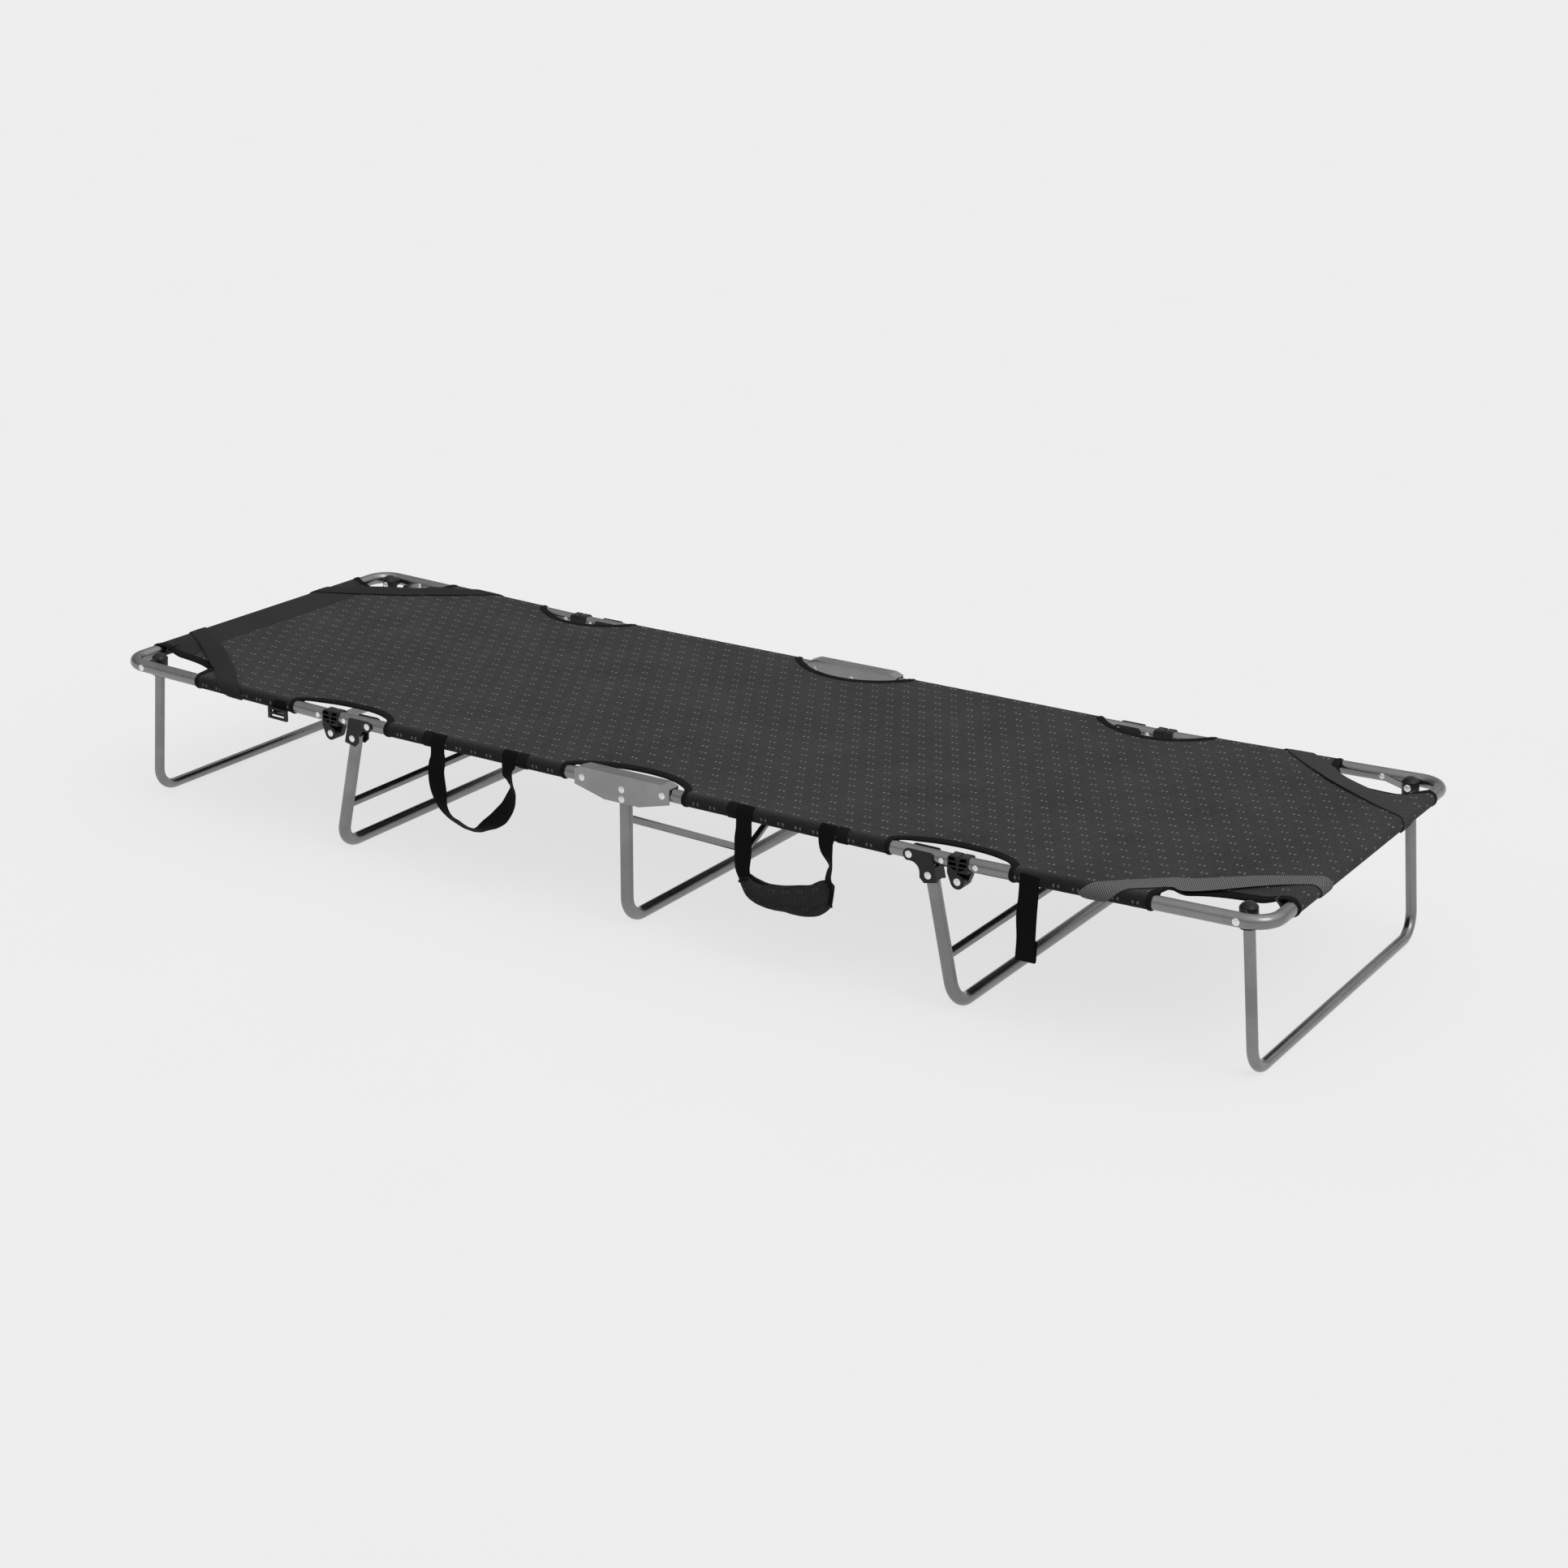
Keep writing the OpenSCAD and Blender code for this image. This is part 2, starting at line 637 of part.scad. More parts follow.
// Flat spring catch: a strip sloping down from its rivet to the leg's cap
module catch_outline() {
  tip = catch_back - cap_r - catch_gap;
  difference() {
    union() {
      circle(catch_w / 2);
      translate([tip, -catch_fall]) circle(catch_w / 2);
      polygon([
        [0, catch_w / 2], [tip, catch_w / 2 - catch_fall],
        [tip, -catch_w / 2 - catch_fall], [0, -catch_w / 2]
      ]);
    }
    circle(rivet_r);
  }
}

module leg_catches(s) {
  color(bright * 0.85) end_place(s) for (t = [NEAR, FAR]) on_rail(t)
    translate([end_leg_x - catch_back, 0, 0]) across(catch_y - sheet_t, catch_y) catch_outline();
}

module end_rivets(s) {
  color(bright) end_place(s) for (t = [NEAR, FAR]) on_rail(t) {
    translate([hinge_x + plug_rivet_x, 0, 0]) rivet(-rail_r, rail_r, rivet_r, head_r - 1);
    translate([end_leg_x - catch_back, 0, 0])
      rivet(catch_y - sheet_t, blind_y, rivet_r, head_r - 1);
    translate([end_leg_x, 0, 0]) rivet(cap_in, rail_r, pin_r);
  }
}

module end_leg_place(s) {
  side(s) translate([end_at_x(end_leg_x, 0), 0, end_at_z(end_leg_x, 0)])
    rotate([0, -end_leg_lean, 0]) children();
}

module end_leg(s) {
  color(steel) end_leg_place(s) difference() {
    u_tube(end_leg_half, end_leg_len, leg_bend, end_leg_r, end_leg_r);
    for (t = [NEAR, FAR]) on_rail(t) rod_y(-rail_half / 2, rail_half / 2, bore_r);
  }
}

// Moulded cap over each upright: a domed cylinder with a boss against the rail
module end_leg_caps(s) {
  dome = 1.12 * cap_r;
  color(black) end_leg_place(s) for (t = [NEAR, FAR]) on_rail(t) difference() {
    union() {
      translate([0, end_leg_half - rail_half, 0]) intersection() {
        translate([0, 0, -cap_skirt]) cylinder(h = cap_skirt + cap_top, r = cap_r);
        union() {
          translate([0, 0, cap_top - dome]) sphere(dome);
          translate([0, 0, -cap_skirt]) cylinder(h = cap_skirt + cap_top - dome, r = dome);
        }
      }
      rod_y(end_leg_half - rail_half, cap_out, cap_boss_r);
    }
    translate([0, end_leg_half - rail_half, -cap_skirt - cut])
      cylinder(h = cap_skirt + cut + end_leg_r + seat, r = end_leg_r + seat);
    rod_y(cap_in - cut, cap_out + cut, bore_r);
  }
}

// ---- webbing -------------------------------------------------------------

// Band of webbing over the outer half of a sleeve, sewn down where the bed begins
module wrap_x(x, w) {
  difference() {
    rod_x(x - w / 2, x + w / 2, wrap_out);
    rod_x(x - w / 2 - cut, x + w / 2 + cut, wrap_in);
    translate([x - w, -2 * wrap_out, -2 * wrap_out]) cube([2 * w, 2 * wrap_out, 4 * wrap_out]);
  }
}

// Bowed strap across the corner, from the side rail to the end tube
module corner_strap(s, t) {
  dx = end_x - strap_x;
  dy = rail_half - strap_y;
  chord = sqrt(dx * dx + dy * dy);
  r = (chord * chord / 4 + strap_bow * strap_bow) / (2 * strap_bow);
  color(webbing) end_place(s) on_rail(t) difference() {
    union() {
      translate([strap_x, 0, wrap_in]) rotate([0, 0, -atan2(dy, dx)])
        across(-strap_w / 2, strap_w / 2) bow_outline(chord, r);
      wrap_x(strap_x, strap_w);
      translate([end_x, strap_y - rail_half, 0]) rotate([0, 0, -90]) wrap_x(0, strap_w);
    }
    rod_x(strap_x - 2 * strap_w, end_x, wrap_in);
    translate([end_x, 0, 0]) rod_y(-rail_half, rail_r, wrap_in);
    // ends cut off flush with the bands round the tubes
    translate([strap_x - 2 * strap_w, wrap_out, 0]) cube([4 * strap_w, 2 * strap_w, 4 * strap_w]);
    translate([end_x + wrap_out, -rail_half, 0]) cube([2 * strap_w, rail_half, 4 * strap_w]);
  }
}

module bow_outline(chord, r) {
  intersection() {
    square([chord, strap_bow + 2 * web_t]);
    translate([chord / 2, strap_bow - r]) difference() {
      circle(r + web_t, $fn = 4 * facets);
      circle(r, $fn = 4 * facets);
    }
  }
}

// Handle: two wraps round the sleeve and a hanging loop in one plane
module handle_loop(x, span) {
  r = span / 2;
  for (e = [-1, 1]) {
    wrap_x(x + e * r, handle_w);
    translate([x + e * r - handle_w / 2, hang_y - web_t / 2, -handle_drop + r + handle_w / 2])
      cube([handle_w, web_t, handle_drop - r - handle_w / 2]);
    translate([x + e * r - handle_w / 2, wrap_in, -web_t / 2])
      cube([handle_w, hang_y + web_t / 2 - wrap_in, web_t]);
  }
  across(hang_y - web_t / 2, hang_y + web_t / 2) translate([x, -handle_drop + r + handle_w / 2])
    difference() {
      circle(r + handle_w / 2, $fn = 2 * facets);
      circle(r - handle_w / 2, $fn = 2 * facets);
      translate([-span, 0]) square([2 * span, span]);
    }
}

module head_handle() {
  color(webbing) mid_place(HEAD) on_rail(NEAR) handle_loop(head_handle_x, head_handle_span);
}

// Foot handle: straight webbing ends that run into the padded grip
grip_top = -handle_drop + grip_h;

module foot_handle() {
  color(webbing) mid_place(FOOT) on_rail(NEAR) for (e = [-1, 1]) {
    x = foot_handle_x + e * foot_handle_span / 2;
    wrap_x(x, handle_w);
    translate([x - handle_w / 2, wrap_in, -web_t / 2])
      cube([handle_w, hang_y + web_t / 2 - wrap_in, web_t]);
    translate([x - handle_w / 2, hang_y - web_t / 2, grip_top + seat])
      cube([handle_w, web_t, -grip_top - seat]);
  }
}

module foot_handle_grip() {
  half = foot_handle_span / 2 + handle_w / 2;
  r = 6;
  color(cloth) mid_place(FOOT) on_rail(NEAR)
    across(hang_y - web_t / 2, hang_y - web_t / 2 + grip_t) translate([foot_handle_x, 0]) {
      translate([-half, -handle_drop + r]) square([2 * half, grip_h - 2 * r]);
      translate([-half + r, -handle_drop]) square([2 * half - 2 * r, grip_h]);
      for (e = [-1, 1], z = [-handle_drop + r, grip_top - r]) translate([e * (half - r), z]) circle(r);
    }
}

module closing_strap() {
  color(webbing) end_place(FOOT) on_rail(NEAR) {
    wrap_x(closing_x, closing_w);
    translate([closing_x - closing_w / 2, wrap_in, -web_t / 2])
      cube([closing_w, hang_y + web_t / 2 - wrap_in, web_t]);
    translate([closing_x - closing_w / 2, hang_y - web_t / 2, -closing_drop])
      cube([closing_w, web_t, closing_drop]);
  }
}

// Short tab that carries the ladder buckle
tab_w = 25;
tab_drop = 4.5;
buckle_t = 4;

module buckle_tab() {
  color(webbing) end_place(HEAD) on_rail(NEAR) {
    wrap_x(buckle_x, tab_w);
    translate([buckle_x - tab_w / 2, wrap_in, -web_t / 2])
      cube([tab_w, hang_y + web_t / 2 - wrap_in, web_t]);
    translate([buckle_x - tab_w / 2, hang_y - web_t / 2, -tab_drop]) cube([tab_w, web_t, tab_drop]);
  }
}

module ladder_buckle() {
  h = 17;
  bar = 2.8;
  side_bar = 5;
  color(black) end_place(HEAD) on_rail(NEAR) translate([buckle_x, 0, -tab_drop - seat])
    across(hang_y - web_t / 2, hang_y - web_t / 2 + buckle_t) difference() {
      translate([-buckle_w / 2, -h]) square([buckle_w, h]);
      translate([-buckle_w / 2 + side_bar, -h + bar])
        square([buckle_w - 2 * side_bar, (h - 3 * bar) / 2]);
      translate([-buckle_w / 2 + side_bar, -h + 2 * bar + (h - 3 * bar) / 2])
        square([buckle_w - 2 * side_bar, (h - 3 * bar) / 2]);
    }
}

// ---- nodes ---------------------------------------------------------------

centre_leg();
centre_leg_brace();
centre_bracket(NEAR);  // centre_bracket_near
centre_bracket(FAR);  // centre_bracket_far
centre_rivets();
centre_fabric();
for (s = [[HEAD, "head"], [FOOT, "foot"]]) {
  for (t = [[NEAR, "near"], [FAR, "far"]]) {
    mid_rail(s[0], t[0]);
    hinge_inner(s[0], t[0]);
    leg_bracket(s[0], t[0]);
    hinge_outer(s[0], t[0]);
    corner_strap(s[0], t[0]);
  }
  mid_rivets(s[0]);
  slant_leg_pins(s[0]);
  mid_fabric(s[0]);
  slant_leg(s[0]);
  slant_leg_crossbar(s[0]);
  end_frame(s[0]);
  hinge_pins(s[0]);
  end_rivets(s[0]);
  leg_catches(s[0]);
  end_fabric(s[0]);
  end_leg(s[0]);
  end_leg_caps(s[0]);
}
head_handle();
foot_handle();
foot_handle_grip();
buckle_tab();
ladder_buckle();
closing_strap();
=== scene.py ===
"""Folding cot: fabric, webbing, materials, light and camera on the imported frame. Lengths in metres."""
import math

import bmesh
import bpy
import numpy as np
from mathutils import Matrix, Vector, noise


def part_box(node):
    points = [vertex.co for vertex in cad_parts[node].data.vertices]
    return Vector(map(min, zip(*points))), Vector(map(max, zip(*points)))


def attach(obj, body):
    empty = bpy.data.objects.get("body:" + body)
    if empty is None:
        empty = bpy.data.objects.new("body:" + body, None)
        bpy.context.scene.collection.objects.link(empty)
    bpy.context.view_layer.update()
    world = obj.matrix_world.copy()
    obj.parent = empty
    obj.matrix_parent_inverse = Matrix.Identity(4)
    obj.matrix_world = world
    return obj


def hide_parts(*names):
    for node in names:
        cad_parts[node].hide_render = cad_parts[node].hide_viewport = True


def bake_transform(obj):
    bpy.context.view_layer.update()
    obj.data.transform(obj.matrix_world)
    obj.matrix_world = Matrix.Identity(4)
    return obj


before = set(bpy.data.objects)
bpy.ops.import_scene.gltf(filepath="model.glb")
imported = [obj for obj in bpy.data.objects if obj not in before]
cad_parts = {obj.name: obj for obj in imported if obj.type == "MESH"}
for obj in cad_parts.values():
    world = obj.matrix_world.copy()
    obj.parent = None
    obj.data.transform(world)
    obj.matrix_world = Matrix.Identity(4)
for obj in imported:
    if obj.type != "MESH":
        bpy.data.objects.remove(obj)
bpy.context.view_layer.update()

# ---------------------------- sizes worked out from the frame
rail_low, rail_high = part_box("head_mid_rail_near")
RAIL_Y = -(rail_low.y + rail_high.y) / 2  # half width between the rail axes
RAIL_Z = (rail_low.z + rail_high.z) / 2  # height of the middle rails' axes
BED_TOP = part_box("centre_fabric")[1].z  # top of the bed at rest
SLEEVE_R = BED_TOP - RAIL_Z  # outside radius of the fabric round a rail
pin_low, pin_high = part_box("foot_hinge_pins")
HINGE_X = (pin_low.x + pin_high.x) / 2  # the section hinges' pins
HINGE_Z = (pin_low.z + pin_high.z) / 2
END_RISE = math.radians(1.5)  # slope of the two end sections
END_X = 0.9405  # the end bars' axis before that slope

# where the bed's sleeves and cut-outs lie along the cot, as in the part's source
HINGE_BAY = (0.421, 0.595)  # the hinges' bay, from and to along the rail
HINGE_BAY_IN = 0.041  # how deep it cuts in from the rail's axis
HINGE_BAY_HANG = 0.006  # how far the bay's free edge hangs
CENTRE_BAY = 0.098  # half length of the centre bracket's bay
CENTRE_BAY_IN = 0.050
CENTRE_BAY_HANG = 0.007
SLEEVE_END = 0.790  # the rail sleeve ends and the open corner begins
END_SLEEVE_HALF = 0.236  # half length of the sleeve on the end bar
CORNER_FAR = 0.923  # where the corner's edge runs straight at the bar
CORNER_HALF = 0.229  # half width of the bed there
CORNER_HANG = 0.0115
CORNER_RISE = 0.006  # length over which the hang starts at the sleeve
CORNER_FADE = 0.045  # and over which it ends at the bar
HANG_REACH = 0.060  # how far in from a free edge the hang is felt
LEG_Y = 0.270  # a corner hangs only inside the folded end leg
LEG_FADE = 0.018
RAIL_FADE = 0.025  # a bay's edge stops hanging this close to the rail
FOLD_X = 0.067  # the centre section's pins
FABRIC_T = 0.0008
SEAM_IN = 0.022  # the sleeve's seam, in from the rail's axis
WRAP = math.radians(230)  # how far the sleeve follows the rail
SAG = 0.0022  # the stretched bed's dip between the rails
RIPPLE = 0.0009  # slow unevenness of its surface
TURN_HALF = 0.012  # the end slope begins over this much about a pin
HEAD_SEAM_X = 0.875  # seam of the plain band at the head end
TAPE_W = 0.010  # width of the binding on a free edge
FAR_HANG = 0.1  # share of the hang in the far side's bays
WEB_T = 0.0015  # thickness of the webbing
BAY_MID = sum(HINGE_BAY) / 2
BAY_HALF = (HINGE_BAY[1] - HINGE_BAY[0]) / 2


# ---------------------------- the bed's surface
def smooth(t):
    """0 to 1 with a soft start and end, held outside that."""
    t = min(max(t, 0.0), 1.0)
    return t * t * (3 - 2 * t)


def round_rod(u, r):
    """Where a sheet lies u past the top of a rod, as (outward, up) from the rod's axis."""
    angle = min(u / SLEEVE_R, WRAP)
    out, up = r * math.sin(angle), r * math.cos(angle)
    rest = u - WRAP * SLEEVE_R
    if rest <= 0:
        return out, up
    seam = (-SEAM_IN, SLEEVE_R - 2 * FABRIC_T - (SLEEVE_R - r) * 0.2)
    t = min(rest / math.hypot(seam[0] - out, seam[1] - up), 1.0)
    return out + (seam[0] - out) * t, up + (seam[1] - up) * t


def sag(x, y):
    """The bed's dip at a point, with a little unevenness."""
    across = max(0.0, 1 - (y / RAIL_Y) ** 2)
    along = max(0.0, 1 - (abs(x) / END_X) ** 10)
    ripple = noise.noise(Vector((x * 5, y * 7, 0.3))) * RIPPLE * across
    return SAG * across * along + ripple * along


def tilted(p):
    """An end section's point, turned up about its hinge pin by the section's slope."""
    side = 1 if p.x > 0 else -1
    turn = END_RISE * smooth((abs(p.x) - HINGE_X + TURN_HALF) / (2 * TURN_HALF))
    x, z = abs(p.x) - HINGE_X, p.z - HINGE_Z
    return Vector((side * (HINGE_X + x * math.cos(turn) - z * math.sin(turn)), p.y,
                   HINGE_Z + x * math.sin(turn) + z * math.cos(turn)))


def on_bed(x, y, lift=0.0):
    """A point of the unrolled bed, lift above its face, wrapped round the rails and end bars."""
    sx, sy = math.copysign(1, x), math.copysign(1, y)
    past_end, past_rail = abs(x) - END_X, abs(y) - RAIL_Y
    r = SLEEVE_R + lift
    if past_rail > 0:
        out, up = round_rod(past_rail, r)
        return tilted(Vector((x, sy * (RAIL_Y + out), RAIL_Z + up)))
    if past_end > 0:
        out, up = round_rod(past_end, r)
        return tilted(Vector((sx * (END_X + out), y, RAIL_Z + up)))
    return tilted(Vector((x, y, RAIL_Z + r - sag(x, y) - hang(x, y))))


def bay(x, half, depth):
    """How far a round bay cuts in, x from its middle."""
    radius = (half * half + depth * depth) / (2 * depth)
    return depth - radius + math.sqrt(radius * radius - x * x) if abs(x) < half else 0.0


def bed_half(x):
    """Half of the panel's width at x: the rails, the bays cut for the hinges, the corners."""
    x = abs(x)
    if x <= SLEEVE_END:
        return RAIL_Y - bay(x, CENTRE_BAY, CENTRE_BAY_IN) - bay(x - BAY_MID, BAY_HALF, HINGE_BAY_IN)
    if x < CORNER_FAR:
        u = (CORNER_FAR - x) / (CORNER_FAR - SLEEVE_END)
        return RAIL_Y - (RAIL_Y - CORNER_HALF) * (1 - u ** 2.5) ** 0.4
    t = min((x - CORNER_FAR) / (END_X - CORNER_FAR), 1.0)
    return CORNER_HALF + (END_SLEEVE_HALF - CORNER_HALF) * t * t


def edge_hang(x):
    """How far the free edge at x hangs below the stretched bed."""
    x = abs(x)
    if x < CENTRE_BAY:
        return CENTRE_BAY_HANG * (1 - (x / CENTRE_BAY) ** 2)
    if abs(x - BAY_MID) < BAY_HALF:
        return HINGE_BAY_HANG * (1 - ((x - BAY_MID) / BAY_HALF) ** 2)
    if SLEEVE_END < x < END_X:
        rise = min((x - SLEEVE_END) / CORNER_RISE, 1.0) ** 0.5
        return CORNER_HANG * rise * smooth((END_X - x) / CORNER_FADE)
    return 0.0


def hang(x, y):
    """The bed's fall near its free edges, full at the edge and gone HANG_REACH inside it."""
    inside = bed_half(x) - abs(y)
    if inside > HANG_REACH:
        return 0.0
    t = 1 - max(inside, 0.0) / HANG_REACH
    if abs(x) > SLEEVE_END:
        return edge_hang(x) * t * t * smooth((LEG_Y - abs(y)) / LEG_FADE)
    share = FAR_HANG if y > 0 else 1.0
    return share * edge_hang(x) * t * t * smooth((RAIL_Y - abs(y)) / RAIL_FADE)


def has_sleeve(x):
    """Whether the bed wraps the rail at x."""
    x = abs(x)
    return CENTRE_BAY < x < HINGE_BAY[0] or HINGE_BAY[1] < x < SLEEVE_END


# ---------------------------- mesh building
def two_sided(name, top, bottom, uv, keep=None):
    """A closed shell between two grids of points, with the grid's cells that keep names."""
    rows, cols = len(top), len(top[0])
    points = [p for grid in (top, bottom) for row in grid for p in row]
    count = rows * cols
    faces, loops, used = [], [], {}

    def at(i, j):
        return i * cols + j

    def add(corners, marks):
        faces.append(corners)
        loops.extend(marks)

    for i in range(rows - 1):
        for j in range(cols - 1):
            if keep is not None and not keep(i, j):
                continue
            ring = [at(i, j), at(i, j + 1), at(i + 1, j + 1), at(i + 1, j)]
            add(ring, ring)
            add([k + count for k in reversed(ring)], list(reversed(ring)))
            for a, b in zip(ring, ring[1:] + ring[:1]):
                used[(a, b)] = True
    for a, b in list(used):
        if (b, a) not in used:
            add([b, a, a + count, b + count], [b, a, a, b])
    flat_uv = [m for row in uv for m in row]
    mesh = bpy.data.meshes.new(name)
    mesh.from_pydata(points, [], faces)
    layer = mesh.uv_layers.new(name="UVMap")
    for loop, k in enumerate(loops):
        layer.data[loop].uv = flat_uv[k]
    return finished(name, mesh)


def linked(name, mesh):
    """The mesh as an object in the scene, shaded smooth."""
    mesh.polygons.foreach_set("use_smooth", [True] * len(mesh.polygons))
    obj = bpy.data.objects.new(name, mesh)
    bpy.context.scene.collection.objects.link(obj)
    return obj


def finished(name, mesh, sharp=50):
    """The mesh as an object, without loose points, smooth but for edges over sharp degrees."""
    bm = bmesh.new()
    bm.from_mesh(mesh)
    bmesh.ops.delete(bm, geom=[v for v in bm.verts if not v.link_faces], context="VERTS")
    bmesh.ops.recalc_face_normals(bm, faces=bm.faces)
    bm.to_mesh(mesh)
    bm.free()
    obj = linked(name, mesh)
    mesh.set_sharp_from_angle(angle=math.radians(sharp))
    return obj


def joined(name, objs):
    """One object out of several."""
    bm = bmesh.new()
    for o in objs:
        bm.from_mesh(o.data)
        bpy.data.objects.remove(o)
    mesh = bpy.data.meshes.new(name)
    bm.to_mesh(mesh)
    bm.free()
    return linked(name, mesh)


def spread(a, b, step):
    """Numbers from a to b, about step apart."""
    n = max(1, round(abs(b - a) / step))
    return [a + (b - a) * k / n for k in range(n + 1)]


def stations(a, b, step, stops):
    """Numbers from a to b, about step apart, with every stop between them among them."""
    marks = [a] + sorted(s for s in stops if a < s < b) + [b]
    out = [a]
    for p, q in zip(marks, marks[1:]):
        out += spread(p, q, step)[1:]
    return out


# ---------------------------- materials
class Paint:
    """A material's node tree, with short names for the nodes that the finishes use."""

    def __init__(self, name):
        self.mat = bpy.data.materials.new(name)
        self.mat.use_nodes = True
        self.tree = self.mat.node_tree
        self.bsdf = self.tree.nodes["Principled BSDF"]

    def node(self, kind, **inputs):
        n = self.tree.nodes.new(kind)
        for key, value in inputs.items():
            self.put(n.inputs[key.replace("_", " ")], value)
        return n

    def put(self, socket, value):
        if hasattr(value, "is_output"):
            self.tree.links.new(value, socket)
        else:
            socket.default_value = value

    def math(self, op, a, b=0.0, c=0.0):
        n = self.tree.nodes.new("ShaderNodeMath")
        n.operation = op
        for socket, value in zip(n.inputs, (a, b, c)):
            self.put(socket, value)
        return n.outputs[0]

    def away(self, a, b):
        """The distance between two values."""
        return self.math("ABSOLUTE", self.math("SUBTRACT", a, b))

    def place(self, kind="UV"):
        return self.tree.nodes.new("ShaderNodeTexCoord").outputs[kind]

    def split(self, vector):
        n = self.node("ShaderNodeSeparateXYZ", Vector=vector)
        return n.outputs[0], n.outputs[1], n.outputs[2]

    def stretch(self, vector, scale):
        n = self.node("ShaderNodeMapping", Vector=vector)
        n.inputs["Scale"].default_value = scale
        return n.outputs[0]

    def noise(self, vector, scale, detail=3.0, rough=0.55):
        return self.node("ShaderNodeTexNoise", Vector=vector, Scale=scale, Detail=detail,
                         Roughness=rough).outputs["Fac"]

    def ramp(self, value, low, high, out_low, out_high):
        n = self.node("ShaderNodeMapRange", Value=value)
        n.interpolation_type = "SMOOTHSTEP"
        n.clamp = True
        for key, v in zip(("From Min", "From Max", "To Min", "To Max"),
                          (low, high, out_low, out_high)):
            n.inputs[key].default_value = v
        return n.outputs[0]

    def mix(self, factor, a, b):
        n = self.tree.nodes.new("ShaderNodeMix")
        n.data_type = "RGBA"
        self.put(n.inputs[0], factor)
        self.put(n.inputs[6], a)
        self.put(n.inputs[7], b)
        return n.outputs[2]

    def bump(self, height, distance, strength=1.0, under=None):
        n = self.node("ShaderNodeBump", Height=height, Distance=distance, Strength=strength)
        if under is not None:
            self.put(n.inputs["Normal"], under)
        return n.outputs[0]

    def set(self, **inputs):
        for key, value in inputs.items():
            self.put(self.bsdf.inputs[key.replace("_", " ")], value)
        return self.mat


def grey(level, warm=0.0):
    """A near-neutral colour from its 0 to 255 screen level."""
    c = level / 255
    c = c / 12.92 if c <= 0.04045 else ((c + 0.055) / 1.055) ** 2.4
    return (c * (1 + warm), c, c * (1 - warm), 1.0)


def steel(name, dark, light, metallic, rough, grain=1800):
    """Satin silver steel: faint mottling, fine orange peel and a few dull scuffs."""
    p = Paint(name)
    spot = p.place("Object")
    broad = p.noise(spot, 14, 4)
    fine = p.noise(spot, 420, 3, 0.6)
    scuff = p.ramp(p.noise(p.stretch(spot, (30, 160, 90)), 6, 5, 0.7), 0.62, 0.72, 0.0, 1.0)
    tone = p.math("ADD", p.math("MULTIPLY", broad, 0.8), p.math("MULTIPLY", fine, 0.2))
    colour = p.mix(p.ramp(tone, 0.35, 0.65, 0, 1), grey(dark), grey(light))
    colour = p.mix(p.math("MULTIPLY", scuff, 0.25), colour, grey(dark - 25))
    gloss = p.math("ADD", p.ramp(tone, 0.3, 0.7, rough - 0.05, rough + 0.06),
                   p.math("MULTIPLY", scuff, 0.12))
    peel = p.bump(p.noise(spot, grain, 2, 0.5), 0.00005, 0.25)
    return p.set(Base_Color=colour, Metallic=metallic, Roughness=gloss, Normal=peel)


def plastic(name, level, rough):
    """Moulded black plastic with a fine spark-eroded grain and rubbed lighter patches."""
    p = Paint(name)
    spot = p.place("Object")
    rub = p.ramp(p.noise(spot, 60, 4, 0.6), 0.45, 0.75, 0.0, 1.0)
    colour = p.mix(rub, grey(level), grey(level + 14))
    grain = p.bump(p.noise(spot, 2600, 2, 0.5), 0.00008, 0.5)
    return p.set(Base_Color=colour, Roughness=p.ramp(rub, 0, 1, rough, rough + 0.12),
                 Normal=grain, Specular_IOR_Level=0.30)


def dash_pairs(p, u, v):
    """Pairs of short woven dashes on a half-drop repeat; 1 on a dash, 0 off it."""
    pitch_u, pitch_v = 0.0270, 0.0235
    from_middle = 0.0034  # each dash's middle from the pair's
    wide_edge, tall_edge = (0.0009, 0.0017), (0.0016, 0.0027)  # where a dash fades out
    row = p.math("FLOOR", p.math("DIVIDE", v, pitch_v))
    odd = p.math("FLOORED_MODULO", row, 2.0)
    along = p.math("ADD", p.math("DIVIDE", u, pitch_u), p.math("MULTIPLY", odd, 0.5))
    x = p.math("MULTIPLY", p.math("SUBTRACT", p.math("FRACT", along), 0.5), pitch_u)
    y = p.math("MULTIPLY", p.math("SUBTRACT", p.math("FRACT", p.math("DIVIDE", v, pitch_v)), 0.5),
               pitch_v)
    gap = p.away(p.math("ABSOLUTE", x), from_middle)
    wide = p.ramp(gap, *wide_edge, 1.0, 0.0)
    tall = p.ramp(p.math("ABSOLUTE", y), *tall_edge, 1.0, 0.0)
    return p.math("MULTIPLY", wide, tall)


def weave(p, u, v, pitch):
    """Plain weave: threads that pass over each other, as a height from 0 to 1."""
    a = p.math("SINE", p.math("MULTIPLY", u, 2 * math.pi / pitch))
    b = p.math("SINE", p.math("MULTIPLY", v, 2 * math.pi / pitch))
    return p.math("MULTIPLY_ADD", p.math("MULTIPLY", a, b), 0.5, 0.5)


def stitches(p, along, off, pitch=0.0034, half=0.00035):
    """A row of stitches where off is 0, as a mask."""
    line = p.ramp(p.math("ABSOLUTE", off), half, half + 0.0003, 1.0, 0.0)
    dash = p.math("FRACT", p.math("DIVIDE", along, pitch))
    return p.math("MULTIPLY", line, p.ramp(p.away(dash, 0.5), 0.30, 0.38, 1.0, 0.0))


THREAD = 0.0011  # pitch of the bed's weave
THREAD_GREY = 22  # level of the sewing thread
SLEEVE_PAINTED_SHADE = (0.004, 0.012)  # painted shade: a sleeve is drawn darker from so far inside the rail to so far past it
GRIP_STITCH = 0.0145  # across the grip: its row of stitches
GRIP_PIPING = 0.0118  # and the piping beside it


